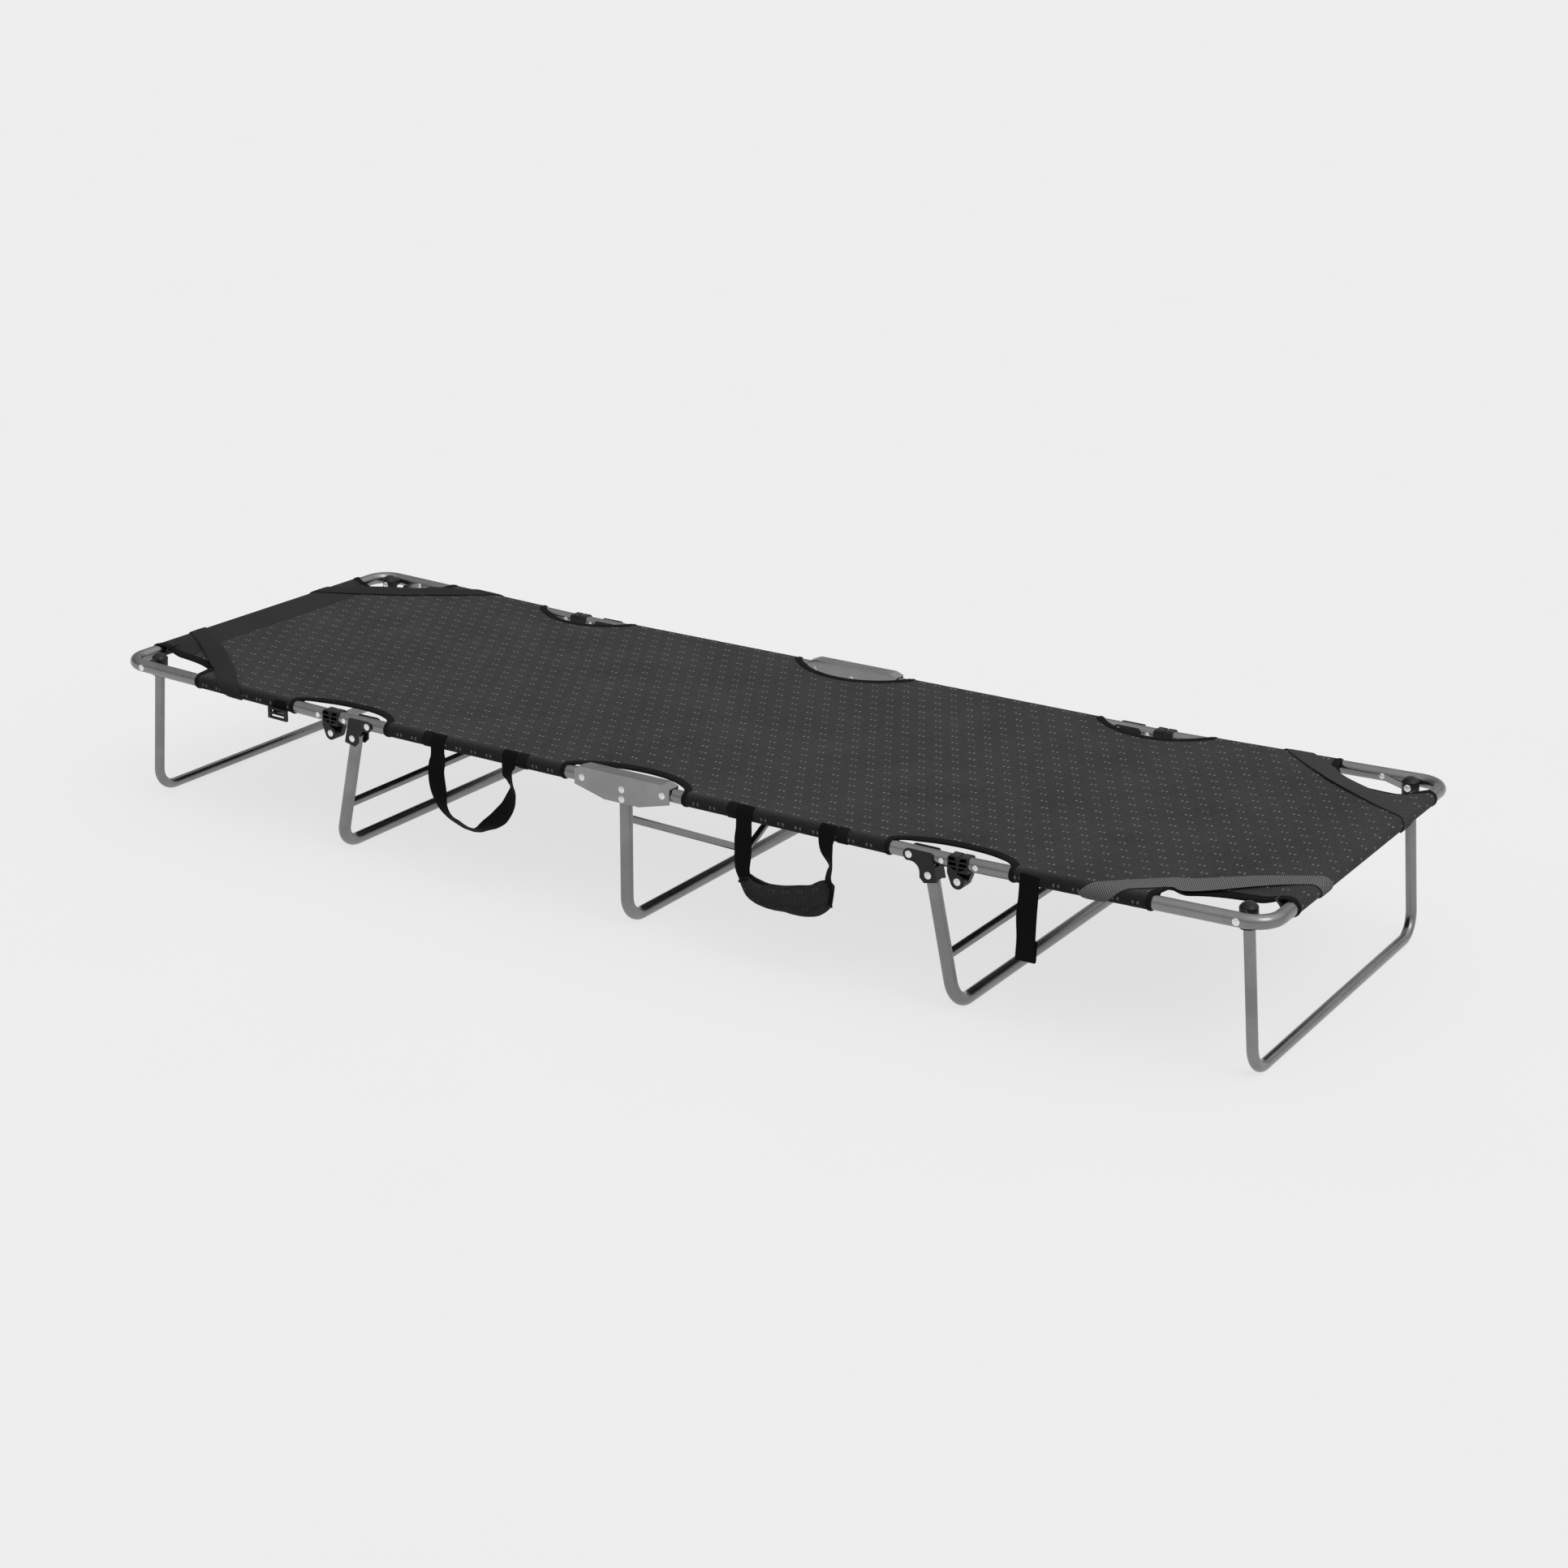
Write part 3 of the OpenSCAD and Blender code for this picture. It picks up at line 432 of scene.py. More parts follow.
def cloth(name, level, mark_level, band=True):
    """Charcoal polyester with heathered threads, dash pairs, stitched seams, a plain head band and
    painted shade on the sleeves.
    """
    p = Paint(name)
    where = p.place()
    u, v, _ = p.split(where)
    threads = weave(p, u, v, THREAD)
    heather = p.noise(p.stretch(where, (700, 170, 1)), 1.0, 3, 0.7)
    cross = p.noise(p.stretch(where, (170, 560, 1)), 1.0, 3, 0.7)
    cloud = p.noise(where, 9, 4, 0.55)
    tone = p.math("ADD", p.math("MULTIPLY", heather, 0.4), p.math("MULTIPLY", cross, 0.4))
    tone = p.math("ADD", tone, p.math("MULTIPLY", cloud, 0.2))
    colour = p.mix(p.ramp(tone, 0.34, 0.66, 0, 1), grey(level - 15), grey(level + 14))
    marks = dash_pairs(p, u, v)
    seam = stitches(p, u, p.math("SUBTRACT", p.math("ABSOLUTE", v), RAIL_Y - SEAM_IN))
    if not band:
        seam = stitches(p, u, p.math("SUBTRACT", v, GRIP_STITCH), half=0.0004)
        piping = p.ramp(p.away(v, GRIP_PIPING), 0.0, 0.0013, 0.0, 1.0)
        colour = p.mix(p.ramp(piping, 0.0, 0.5, 0.7, 0.0), colour, grey(14))
    if band:
        # painted shade: the sleeve's side, which the light from above reaches less, is drawn darker
        sleeve = p.ramp(p.math("ABSOLUTE", v), RAIL_Y - SLEEVE_PAINTED_SHADE[0], RAIL_Y + SLEEVE_PAINTED_SHADE[1],
                        0.0, 0.75)
        colour = p.mix(sleeve, colour, grey(level - 30))
        plain = p.ramp(u, -HEAD_SEAM_X - 0.0004, -HEAD_SEAM_X + 0.0004, 1.0, 0.0)
        colour = p.mix(plain, colour, p.mix(p.ramp(tone, 0.3, 0.7, 0, 1), grey(level - 17),
                                            grey(level - 7)))
        marks = p.math("MULTIPLY", marks, p.math("SUBTRACT", 1.0, plain))
        head = stitches(p, v, p.math("ADD", u, HEAD_SEAM_X + 0.003))
        seam = p.math("MAXIMUM", seam, head)
        ridge = p.ramp(p.math("ABSOLUTE", p.math("ADD", u, HEAD_SEAM_X)), 0.0, 0.0012, 0.0, 1.0)
    faint = p.math("MULTIPLY", marks, p.ramp(p.noise(where, 30, 2), 0.3, 0.7, 0.55, 1.0))
    colour = p.mix(faint, colour, grey(mark_level))
    colour = p.mix(p.math("MULTIPLY", seam, 0.8), colour, grey(THREAD_GREY))
    height = p.math("ADD", threads, p.math("MULTIPLY", heather, 0.8))
    normal = p.bump(height, 0.00010, 0.5)
    normal = p.bump(ridge if band else piping, 0.0005 if band else 0.0012, 0.8, normal)
    normal = p.bump(p.math("SUBTRACT", 1.0, seam), 0.0003, 0.6, normal)
    return p.set(Base_Color=colour, Roughness=p.ramp(tone, 0.3, 0.7, 0.72, 0.86), Normal=normal,
                 Specular_IOR_Level=0.10, Sheen_Weight=0.02, Sheen_Roughness=0.5)


TWILL = 0.0013  # pitch of the twill between a strap's ribs


def webbing(name, level, light, pitch=0.0022, warm=0.0, width=0.025):
    """Woven strap: ribs across it, a finer twill between them and firm edges. UV is in metres."""
    p = Paint(name)
    where = p.place()
    u, v, _ = p.split(where)
    rib = p.math("MULTIPLY_ADD", p.math("SINE", p.math("MULTIPLY", u, 2 * math.pi / pitch)),
                 0.5, 0.5)
    twill = p.math("SINE", p.math("MULTIPLY", p.math("ADD", u, v), 2 * math.pi / TWILL))
    fuzz = p.noise(p.stretch(where, (500, 1400, 1)), 1.0, 3, 0.7)
    tone = p.math("ADD", p.math("MULTIPLY", rib, 0.6), p.math("MULTIPLY", fuzz, 0.4))
    colour = p.mix(p.ramp(tone, 0.2, 0.8, 0, 1), grey(level, warm), grey(light, warm))
    edge = p.ramp(p.math("ABSOLUTE", v), width * 0.40, width * 0.47, 0.0, 1.0)
    colour = p.mix(p.math("MULTIPLY", edge, 0.5), colour, grey(max(level - 12, 8)))
    height = p.math("ADD", rib, p.math("MULTIPLY", twill, 0.15))
    normal = p.bump(height, 0.00035, 0.7)
    return p.set(Base_Color=colour, Roughness=0.75, Normal=normal, Specular_IOR_Level=0.07)


FLOOR_LEVEL = 237  # how pale the floor looks, 0 to 255
FLOOR_OWN = 0.52  # how pale it is to the light that falls on it
FLOOR_PLAIN = 0.75  # share of what is seen that is plain colour


def floor_finish(name):
    """Pale studio floor: what the camera and reflections see is mostly its own plain colour."""
    p = Paint(name)
    spot = p.place("Object")
    seen_level = grey(FLOOR_LEVEL)[0]
    colour = p.mix(p.noise(spot, 3, 2), (FLOOR_OWN - 0.02,) * 3 + (1,),
                   (FLOOR_OWN + 0.02,) * 3 + (1,))
    p.set(Base_Color=colour, Roughness=0.9, Specular_IOR_Level=0.05)
    plain = (seen_level - (1 - FLOOR_PLAIN) * FLOOR_OWN) / FLOOR_PLAIN
    glow = p.node("ShaderNodeEmission", Color=(plain, plain, plain, 1), Strength=1.0)
    seen = p.tree.nodes.new("ShaderNodeLightPath")
    seen_by = p.math("MAXIMUM", seen.outputs["Is Camera Ray"],
                     p.math("MAXIMUM", seen.outputs["Is Glossy Ray"],
                            seen.outputs["Is Transmission Ray"]))
    blend = p.node("ShaderNodeMixShader", Fac=p.math("MULTIPLY", seen_by, FLOOR_PLAIN))
    p.tree.links.new(p.bsdf.outputs[0], blend.inputs[1])
    p.tree.links.new(glow.outputs[0], blend.inputs[2])
    out = next(n for n in p.tree.nodes if n.type == "OUTPUT_MATERIAL")
    p.tree.links.new(blend.outputs[0], out.inputs["Surface"])
    return p.mat


TUBE = steel("tube_steel_satin", 126, 140, 0.96, 0.26)
SHEET_STEEL = steel("bracket_steel_pressed", 140, 154, 0.92, 0.30, 2400)
RIVET = steel("rivet_zinc", 228, 244, 0.70, 0.24)
PLASTIC = plastic("black_plastic_grain", 15, 0.36)
BED = cloth("bed_fabric_heather", 51, 112)
GRIP = cloth("grip_fabric_heather", 40, 62, band=False)
TAPE = webbing("binding_tape", 14, 26, 0.0016, width=0.03)
STRAP = webbing("strap_webbing", 30, 50, 0.0026, width=0.034)
# the foot end's straps are drawn paler than the head end's, the near one palest
STRAP_PALER = webbing("strap_webbing_paler", 44, 72, 0.0026, 0.02, width=0.034)
STRAP_PALEST = webbing("strap_webbing_palest", 66, 114, 0.0026, 0.008, width=0.034)
HANDLE_WEB = webbing("handle_webbing", 6, 16, 0.0022)


# ---------------------------- the bed, in four sheets
BED_STEP = 0.006  # spacing of the mesh along the cot
HEM_STEP = 0.0030  # and round a rail
SEAM_TAIL = 0.0205  # cloth between the end of the wrap and the seam
INWARD = (0, 0.004, 0.009, 0.016, 0.025, 0.036, 0.049, 0.062)  # rows beside the bed's edge


def bed_sheet(name, a, b):
    """The bed between x = a and b, with its sleeves, as one closed thin shell."""
    stops = [s * k for k in (*HINGE_BAY, CENTRE_BAY, SLEEVE_END) for s in (-1, 1)]
    stops += [s * (SLEEVE_END + d) for d in (0.0008, 0.0022) for s in (-1, 1)]
    xs = stations(max(a, -END_X), min(b, END_X), BED_STEP, stops)
    wrap = WRAP * SLEEVE_R
    hem = spread(0, wrap, HEM_STEP) + spread(wrap, wrap + SEAM_TAIL, BED_STEP)[1:]
    if a < -END_X:
        xs = [-END_X - u for u in reversed(hem[1:])] + xs
    if b > END_X:
        xs = xs + [END_X + u for u in hem[1:]]
    inner = [1 - d / RAIL_Y for d in INWARD]
    share = [-s for s in inner] + spread(-inner[-1], inner[-1], 0.05)[1:-1] + inner[::-1]
    side = hem[1:]
    cols = [("out", -u) for u in reversed(side)] + [("in", s) for s in share] \
        + [("out", u) for u in side]
    first, last = len(side), len(side) + len(share) - 1

    def plan(x, col):
        kind, value = col
        if kind == "in":
            return value * bed_half(x)
        return math.copysign(RAIL_Y + abs(value), value)

    top = [[on_bed(x, plan(x, c), wrinkle(x, plan(x, c))) for c in cols] for x in xs]
    low = [[on_bed(x, plan(x, c), wrinkle(x, plan(x, c)) - FABRIC_T) for c in cols] for x in xs]
    uv = [[(x, plan(x, c)) for c in cols] for x in xs]

    def keep(i, j):
        return first <= j < last or has_sleeve((xs[i] + xs[i + 1]) / 2)

    return two_sided(name, top, low, uv, keep)


def wrinkle(x, y):
    """Small tension folds at the sleeves and the bays' ends, as a lift off the smooth bed."""
    near_rail = smooth((abs(y) - RAIL_Y + 0.05) / 0.05)
    folds = noise.noise(Vector((x * 60, y * 14, 4.1))) * 0.00035
    return folds * near_rail if abs(y) < RAIL_Y else abs(folds) * 0.8


def make_bed():
    """The four sheets, each lying across the two sections that it joins."""
    parts = (
        ("bed_head_end", -1.1, -0.300, "head_end", "head_mid", -HINGE_X),
        ("bed_head_mid", -0.300, 0.0, "head_mid", "centre", -FOLD_X),
        ("bed_foot_mid", 0.0, 0.300, "centre", "foot_mid", FOLD_X),
        ("bed_foot_end", 0.300, 1.1, "foot_mid", "foot_end", HINGE_X),
    )
    stands_for = {
        "bed_head_end": ("head_end_fabric", "head_mid_fabric"),
        "bed_head_mid": ("centre_fabric",),
        "bed_foot_end": ("foot_end_fabric", "foot_mid_fabric"),
    }
    for name, a, b, left, right, fold in parts:
        obj = bed_sheet(name, a, b)
        obj.data.materials.append(BED)
        rests(a, b)
        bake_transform(obj)
        if name in stands_for:
            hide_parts(*stands_for[name])


def rests(a, b):
    """The rails and end frames under the bed between x = a and b."""
    out = []
    for end, lo, hi in (("head", -1, 0), ("foot", 0, 1)):
        if a < hi and b > lo and not (a >= 0 and end == "head") and not (b <= 0 and end == "foot"):
            out += [f"{end}_mid_rail_near", f"{end}_mid_rail_far"]
            if max(abs(a), abs(b)) > 0.6:
                out.append(f"{end}_end_frame")
    return out


# ---------------------------- binding tape
RING_W = 0.007  # width of the tape round a sleeve's end
RING_TUCK = 0.004  # it starts this far in from the rail's top
RING_TAIL = 0.012  # and ends this far past the wrap
RING_LIFTS = (0.0011, -0.0003)  # its two faces off the sleeve
RING_EDGE = (0.25, 1, 1, 0.25)  # its outer face falls off at both edges
TAPE_STEP = 0.0025


def ring_tape(name, middle, place):
    """Tape round a sleeve's end. place(along, round, lift) puts a point on the sleeve."""
    us = [-RING_TUCK] + spread(0.0, WRAP * SLEEVE_R, TAPE_STEP) + [WRAP * SLEEVE_R + RING_TAIL]
    alongs = spread(middle - RING_W / 2, middle + RING_W / 2, TAPE_STEP)
    faces = [[[place(q, u, lift * (e if lift > 0 else 1)) for u in us]
              for q, e in zip(alongs, RING_EDGE)] for lift in RING_LIFTS]
    uv = [[(u, q - middle) for u in us] for q in alongs]
    return two_sided(name, *faces, uv)


def rail_ring(x, sy):
    """Tape round a rail's sleeve at x."""
    return ring_tape("rail_ring", x, lambda q, u, lift: on_bed(q, sy * (RAIL_Y + u), lift))


def bar_ring(sx, y):
    """Tape round an end bar's sleeve at y."""
    return ring_tape("bar_ring", y, lambda q, u, lift: on_bed(sx * (END_X + u), q, lift))


# the edge tape's section: how far in from the bed's edge, how far off its face
TAPE_SECTION = ((-0.0012, 0.0), (-0.0008, 0.0010), (0.001, 0.0014), (0.003, 0.0013),
                (TAPE_W - 0.0008, 0.0009), (TAPE_W, 0.0001))


def edge_tape(xs, sy):
    """Tape folded over the panel's free edge between two sleeves."""
    line = [Vector((x, sy * bed_half(x))) for x in xs]
    top, low, uv, run = [], [], [], 0.0
    for k, p in enumerate(line):
        a, b = line[max(k - 1, 0)], line[min(k + 1, len(line) - 1)]
        along = (b - a).normalized()
        inward = Vector((-along.y, along.x))
        if inward.y * sy > 0:
            inward = -inward
        run += (p - line[k - 1]).length if k else 0
        up, down, mark = [], [], []
        for w, rise in TAPE_SECTION:
            q = p + inward * w
            up.append(on_bed(q.x, q.y, rise))
            down.append(on_bed(q.x, q.y, -FABRIC_T - rise))
            mark.append((run, w - TAPE_W / 2))
        top.append(up)
        low.append(down)
        uv.append(mark)
    return two_sided("edge_tape", top, low, uv)


def make_tapes():
    """One binding for each bay and each corner; only the corners' bindings are carried, by the end
    sections.
    """
    for sy, side in ((-1, "near"), (1, "far")):
        for sx, end in ((-1, "head"), (1, "foot")):
            lo, hi = sorted((sx * HINGE_BAY[0], sx * HINGE_BAY[1]))
            tape = joined(f"tape_{end}_hinge_bay_{side}", [
                edge_tape(spread(lo, hi, 0.004), sy),
                rail_ring(lo - RING_W / 2, sy), rail_ring(hi + RING_W / 2, sy)])
            dress(tape, TAPE)
            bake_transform(tape)

            lo, hi = sorted((0.0, sx * CENTRE_BAY))
            tape = joined(f"tape_{end}_centre_bay_{side}", [
                edge_tape(spread(lo, hi, 0.004), sy),
                rail_ring(sx * (CENTRE_BAY + RING_W / 2), sy)])
            dress(tape, TAPE)
            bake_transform(tape)

            lo, hi = sorted((sx * SLEEVE_END, sx * END_X))
            tape = joined(f"tape_{end}_corner_{side}", [
                edge_tape(spread(lo, hi, 0.005), sy),
                rail_ring(sx * (SLEEVE_END - RING_W / 2), sy),
                bar_ring(sx, sy * (END_SLEEVE_HALF - RING_W / 2))])
            dress(tape, TAPE)
            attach(tape, f"{end}_end")


def dress(obj, material):
    """Gives a piece its material."""
    obj.data.materials.clear()
    obj.data.materials.append(material)


# ---------------------------- webbing
STRAP_END = 0.030  # how far a strap's ends reach round the tubes
STRAP_GAP = 0.0006  # its rest clearance over the bed
STRAP_ACROSS = (-0.5, -0.46, -0.25, 0, 0.25, 0.46, 0.5)
STRAP_CROWN = (0.0, 0.0006, 0.0008, 0.0009, 0.0008, 0.0006, 0.0)  # half thickness across it


def corner_strap(name, sx, sy, rail_x, bar_y, width, bow, lift, material, node):
    """Strap across a corner of the bed, bowed inwards and wrapped round the rail and the end bar.

    lift is how far its inner edge, its middle and its outer edge stand off the bed halfway along.
    """
    start, stop = Vector((rail_x, RAIL_Y)), Vector((END_X, bar_y))
    chord = stop - start
    inward = Vector((chord.y, -chord.x)).normalized() * -1
    if inward.x > 0:
        inward = -inward
    knee = (start + stop) / 2 + inward * (2 * bow)

    def path(t):
        t = min(max(t, 0.0), 1.0)
        return start * (1 - t) ** 2 + knee * (2 * t * (1 - t)) + stop * t * t

    first, last = (knee - start).normalized(), (stop - knee).normalized()
    before, after = STRAP_END / abs(first.y), STRAP_END / abs(last.x)
    span = chord.length
    top, low, uv = [], [], []
    for t in stations(-before, span + after, 0.004, [0.0, span]):
        here = path(t / span)
        here += first * min(t, 0.0) + last * max(t - span, 0.0)
        part = min(max(t / span, 0.0), 1.0)
        along = (first * (1 - part) + last * part).normalized()
        out = Vector((-along.y, along.x))
        if out.dot(inward) > 0:
            out = -out
        arch = math.sin(math.pi * part) ** 1.5 if 0 < part < 1 else 0.0
        fallen = hang(here.x, here.y)
        up, down, mark = [], [], []
        for w, c in zip(STRAP_ACROSS, STRAP_CROWN):
            q = here + out * (w * width)
            side = lift[0] if w < 0 else lift[2]
            rise = lift[1] + (side - lift[1]) * abs(2 * w)
            bridged = max(0.0, hang(q.x, q.y) - fallen)  # it spans the bed's hanging edge
            base = STRAP_GAP + rise * arch + WEB_T / 2 + bridged
            up.append(on_bed(sx * q.x, sy * q.y, base + c))
            down.append(on_bed(sx * q.x, sy * q.y, base - c))
            mark.append((t, w * width))
        top.append(up)
        low.append(down)
        uv.append(mark)
    obj = two_sided(name, top, low, uv)
    dress(obj, material)
    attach(obj, "head_end" if sx < 0 else "foot_end")
    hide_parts(node)


def make_corner_straps():
    """The four, each with its own place, width, bow, lift and tone as in the photograph."""
    corner_strap("corner_strap_foot_near", 1, -1, 0.735, 0.158, 0.030, 0.008,
                 (0.0004, 0.0006, -0.0010), STRAP_PALEST, "foot_corner_strap_near")
    corner_strap("corner_strap_foot_far", 1, 1, 0.730, 0.136, 0.031, 0.009,
                 (0.0016, 0.0016, 0.0012), STRAP_PALER, "foot_corner_strap_far")
    corner_strap("corner_strap_head_near", -1, -1, 0.733, 0.145, 0.030, 0.007,
                 (0.0030, 0.0032, 0.0010), STRAP, "head_corner_strap_near")
    corner_strap("corner_strap_head_far", -1, 1, 0.719, 0.144, 0.029, 0.008,
                 (0.0008, 0.0040, 0.0070), STRAP, "head_corner_strap_far")


def curve_through(points, count):
    """A smooth line through rows of numbers, at even steps of the first three (Catmull-Rom)."""
    pts = np.array(points, float)
    pts = np.vstack([2 * pts[0] - pts[1], pts, 2 * pts[-1] - pts[-2]])
    fine = []
    for k in range(1, len(pts) - 2):
        a, b, c, d = pts[k - 1:k + 3]
        for t in np.linspace(0, 1, 24, endpoint=False):
            fine.append(0.5 * (2 * b + (c - a) * t + (2 * a - 5 * b + 4 * c - d) * t ** 2
                               + (3 * b - a - 3 * c + d) * t ** 3))
    fine.append(pts[-2])
    fine = np.array(fine)
    run = np.concatenate([[0], np.cumsum(np.linalg.norm(np.diff(fine[:, :3], axis=0), axis=1))])
    even = np.linspace(0, run[-1], count)
    return np.array([np.interp(even, run, col) for col in fine.T]).T, even


RIBBON_ACROSS = (-0.5, -0.45, -0.25, 0, 0.25, 0.45, 0.5)
RIBBON_CROWN = (0.15, 0.85, 1, 1, 1, 0.85, 0.15)  # share of the thickness across it


def ribbon(name, points, thick=WEB_T, step=0.004):
    """A strap along points of (x, y, z, width vector x, y, z); the vector's length is its width."""
    length = sum(math.dist(a[:3], b[:3]) for a, b in zip(points, points[1:]))
    rows, run = curve_through(points, max(8, int(length / step)))
    top, low, uv = [], [], []
    for k, row in enumerate(rows):
        here = Vector(row[:3])
        ahead = Vector(rows[min(k + 1, len(rows) - 1)][:3]) - Vector(rows[max(k - 1, 0)][:3])
        ahead.normalize()
        wide = Vector(row[3:6])
        width = wide.length
        wide = (wide - ahead * wide.dot(ahead)).normalized()
        face = ahead.cross(wide)
        up, down, mark = [], [], []
        for w, c in zip(RIBBON_ACROSS, RIBBON_CROWN):
            p = here + wide * (w * width)
            up.append(p + face * (thick / 2 * c))
            down.append(p - face * (thick / 2 * c))
            mark.append((run[k], w * width))
        top.append(up)
        low.append(down)
        uv.append(mark)
    return two_sided(name, top, low, uv)


OVER_RAIL = (12, 32, 52, 74, 96)  # a strap's points round a rail, in degrees
SLEEVE_GAP = 0.0003  # its clearance from the sleeve under it


def from_rail(x, across):
    """Points of a strap that comes over the sleeve at x: its top, outside and just below it."""
    r = SLEEVE_R + WEB_T / 2 + SLEEVE_GAP
    out = []
    for angle in OVER_RAIL:
        a = math.radians(angle)
        out.append((x, -RAIL_Y - r * math.sin(a), RAIL_Z + r * math.cos(a), across, 0.0, 0.0))
    return out


HANG_Y = -RAIL_Y - SLEEVE_R - 0.0016  # a strap that hangs from the near rail
LOOP_W = 0.025  # width of the carrying loops' webbing
ALONG_VIEW = (0.636, 0.426)  # x and z gained for each metre a loop stands out


STAND_OUT = ((0.008, 0.020), (0.062, 0.086))  # drops between which a loop comes out, goes back


def clear_of_rail(drop, wide):
    """How far a twisted strap stands out, so that the end frame folds up inside it."""
    (out_from, out_to), (back_from, back_to) = STAND_OUT
    reach = abs(wide.y) / 2
    return (reach * smooth((drop - out_from) / (out_to - out_from))
            * (1 - smooth((drop - back_from) / (back_to - back_from))))


def loop(name, points, node, body):
    """A carrying loop: off the sleeve, down, along and back up, by (x, drop, width direction)."""
    line = from_rail(points[0][0], LOOP_W)
    for x, drop, facing in points:
        wide = Vector(facing).normalized() * LOOP_W
        out = clear_of_rail(drop, wide)
        line.append((x + ALONG_VIEW[0] * out, HANG_Y - out, RAIL_Z - drop + ALONG_VIEW[1] * out,
                     *wide))
    line += reversed(from_rail(points[-1][0], -LOOP_W))
    obj = ribbon(name, line, step=0.003)
    dress(obj, HANDLE_WEB)
    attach(obj, body)
    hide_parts(node)


def make_handles():
    """Both loops, traced from the photograph: x, drop below the rail, width direction."""
    loop("handle_head", [
        (-0.320, 0.014, (24, 0, 3)), (-0.320, 0.024, (23, 5, 4)), (-0.323, 0.040, (23, 6, 6)),
        (-0.322, 0.057, (23, 7, 7)), (-0.319, 0.076, (22, 2, 11)), (-0.314, 0.091, (21, -6, 11)),
        (-0.305, 0.102, (19, -12, 11)), (-0.294, 0.109, (17, -15, 11)),
        (-0.282, 0.113, (18, -14, 11)), (-0.270, 0.116, (16, -16, 11)),
        (-0.259, 0.117, (14, -17, 12)), (-0.246, 0.114, (9, -18, 14)),
        (-0.228, 0.102, (-6, -15, 18)), (-0.211, 0.088, (-21, -1, 12)),
        (-0.198, 0.073, (-24, 5, 6)), (-0.189, 0.057, (-23, 9, 1)),
        (-0.185, 0.045, (-20, 14, -4)), (-0.187, 0.036, (-18, 16, -6)),
        (-0.190, 0.028, (-20, 13, -5)), (-0.193, 0.020, (-22, 9, -4)),
        (-0.193, 0.013, (-24, 4, -2))], "head_handle", "head_mid")
    loop("handle_foot", [
        (0.200, 0.013, (24, 0, 3)), (0.200, 0.020, (24, 1, 4)), (0.199, 0.034, (24, 4, 3)),
        (0.199, 0.051, (24, 3, 3)), (0.198, 0.066, (24, 0, 5)), (0.199, 0.079, (23, -3, 8)),
        (0.206, 0.091, (16, -5, 18)), (0.222, 0.099, (7, -3, 24)), (0.248, 0.103, (2, 0, 25)),
        (0.278, 0.100, (-3, 0, 25)), (0.305, 0.096, (-6, 2, 24)), (0.326, 0.090, (-12, 10, 18)),
        (0.335, 0.079, (-18, 16, 2)), (0.333, 0.066, (-19, 15, -5)),
        (0.333, 0.056, (-17, 16, -6)), (0.335, 0.045, (-15, 18, -8)),
        (0.334, 0.036, (-17, 16, -8)), (0.331, 0.025, (-21, 10, -6)),
        (0.328, 0.013, (-24, 4, -4))], "foot_handle", "foot_mid")


GRIP_ROWS, GRIP_COLS = 56, 16  # points along the pouch, cells across it
GRIP_FULL = 0.0052  # how far its face swells at its fullest
GRIP_SKIN = 0.0006  # half of its thickness at the edges
GRIP_OUT = 0.0006  # its middle lies this far outside the hanging straps
GRIP_DEEP = 0.045  # its width, flat
GRIP_LEAN = 0.0030  # how far its top edge leans back on the strap
GRIP_END = 0.022  # length over which an end is pulled thin
HEM_FROM, HEM_NEXT, HEM_POINTS = 0.08, 0.084, 11  # shares of the way down the pouch
HEM_OUT, HEM_BOW, HEM_W = 0.0030, 0.0022, 0.006  # how far it stands out, its bow, its width


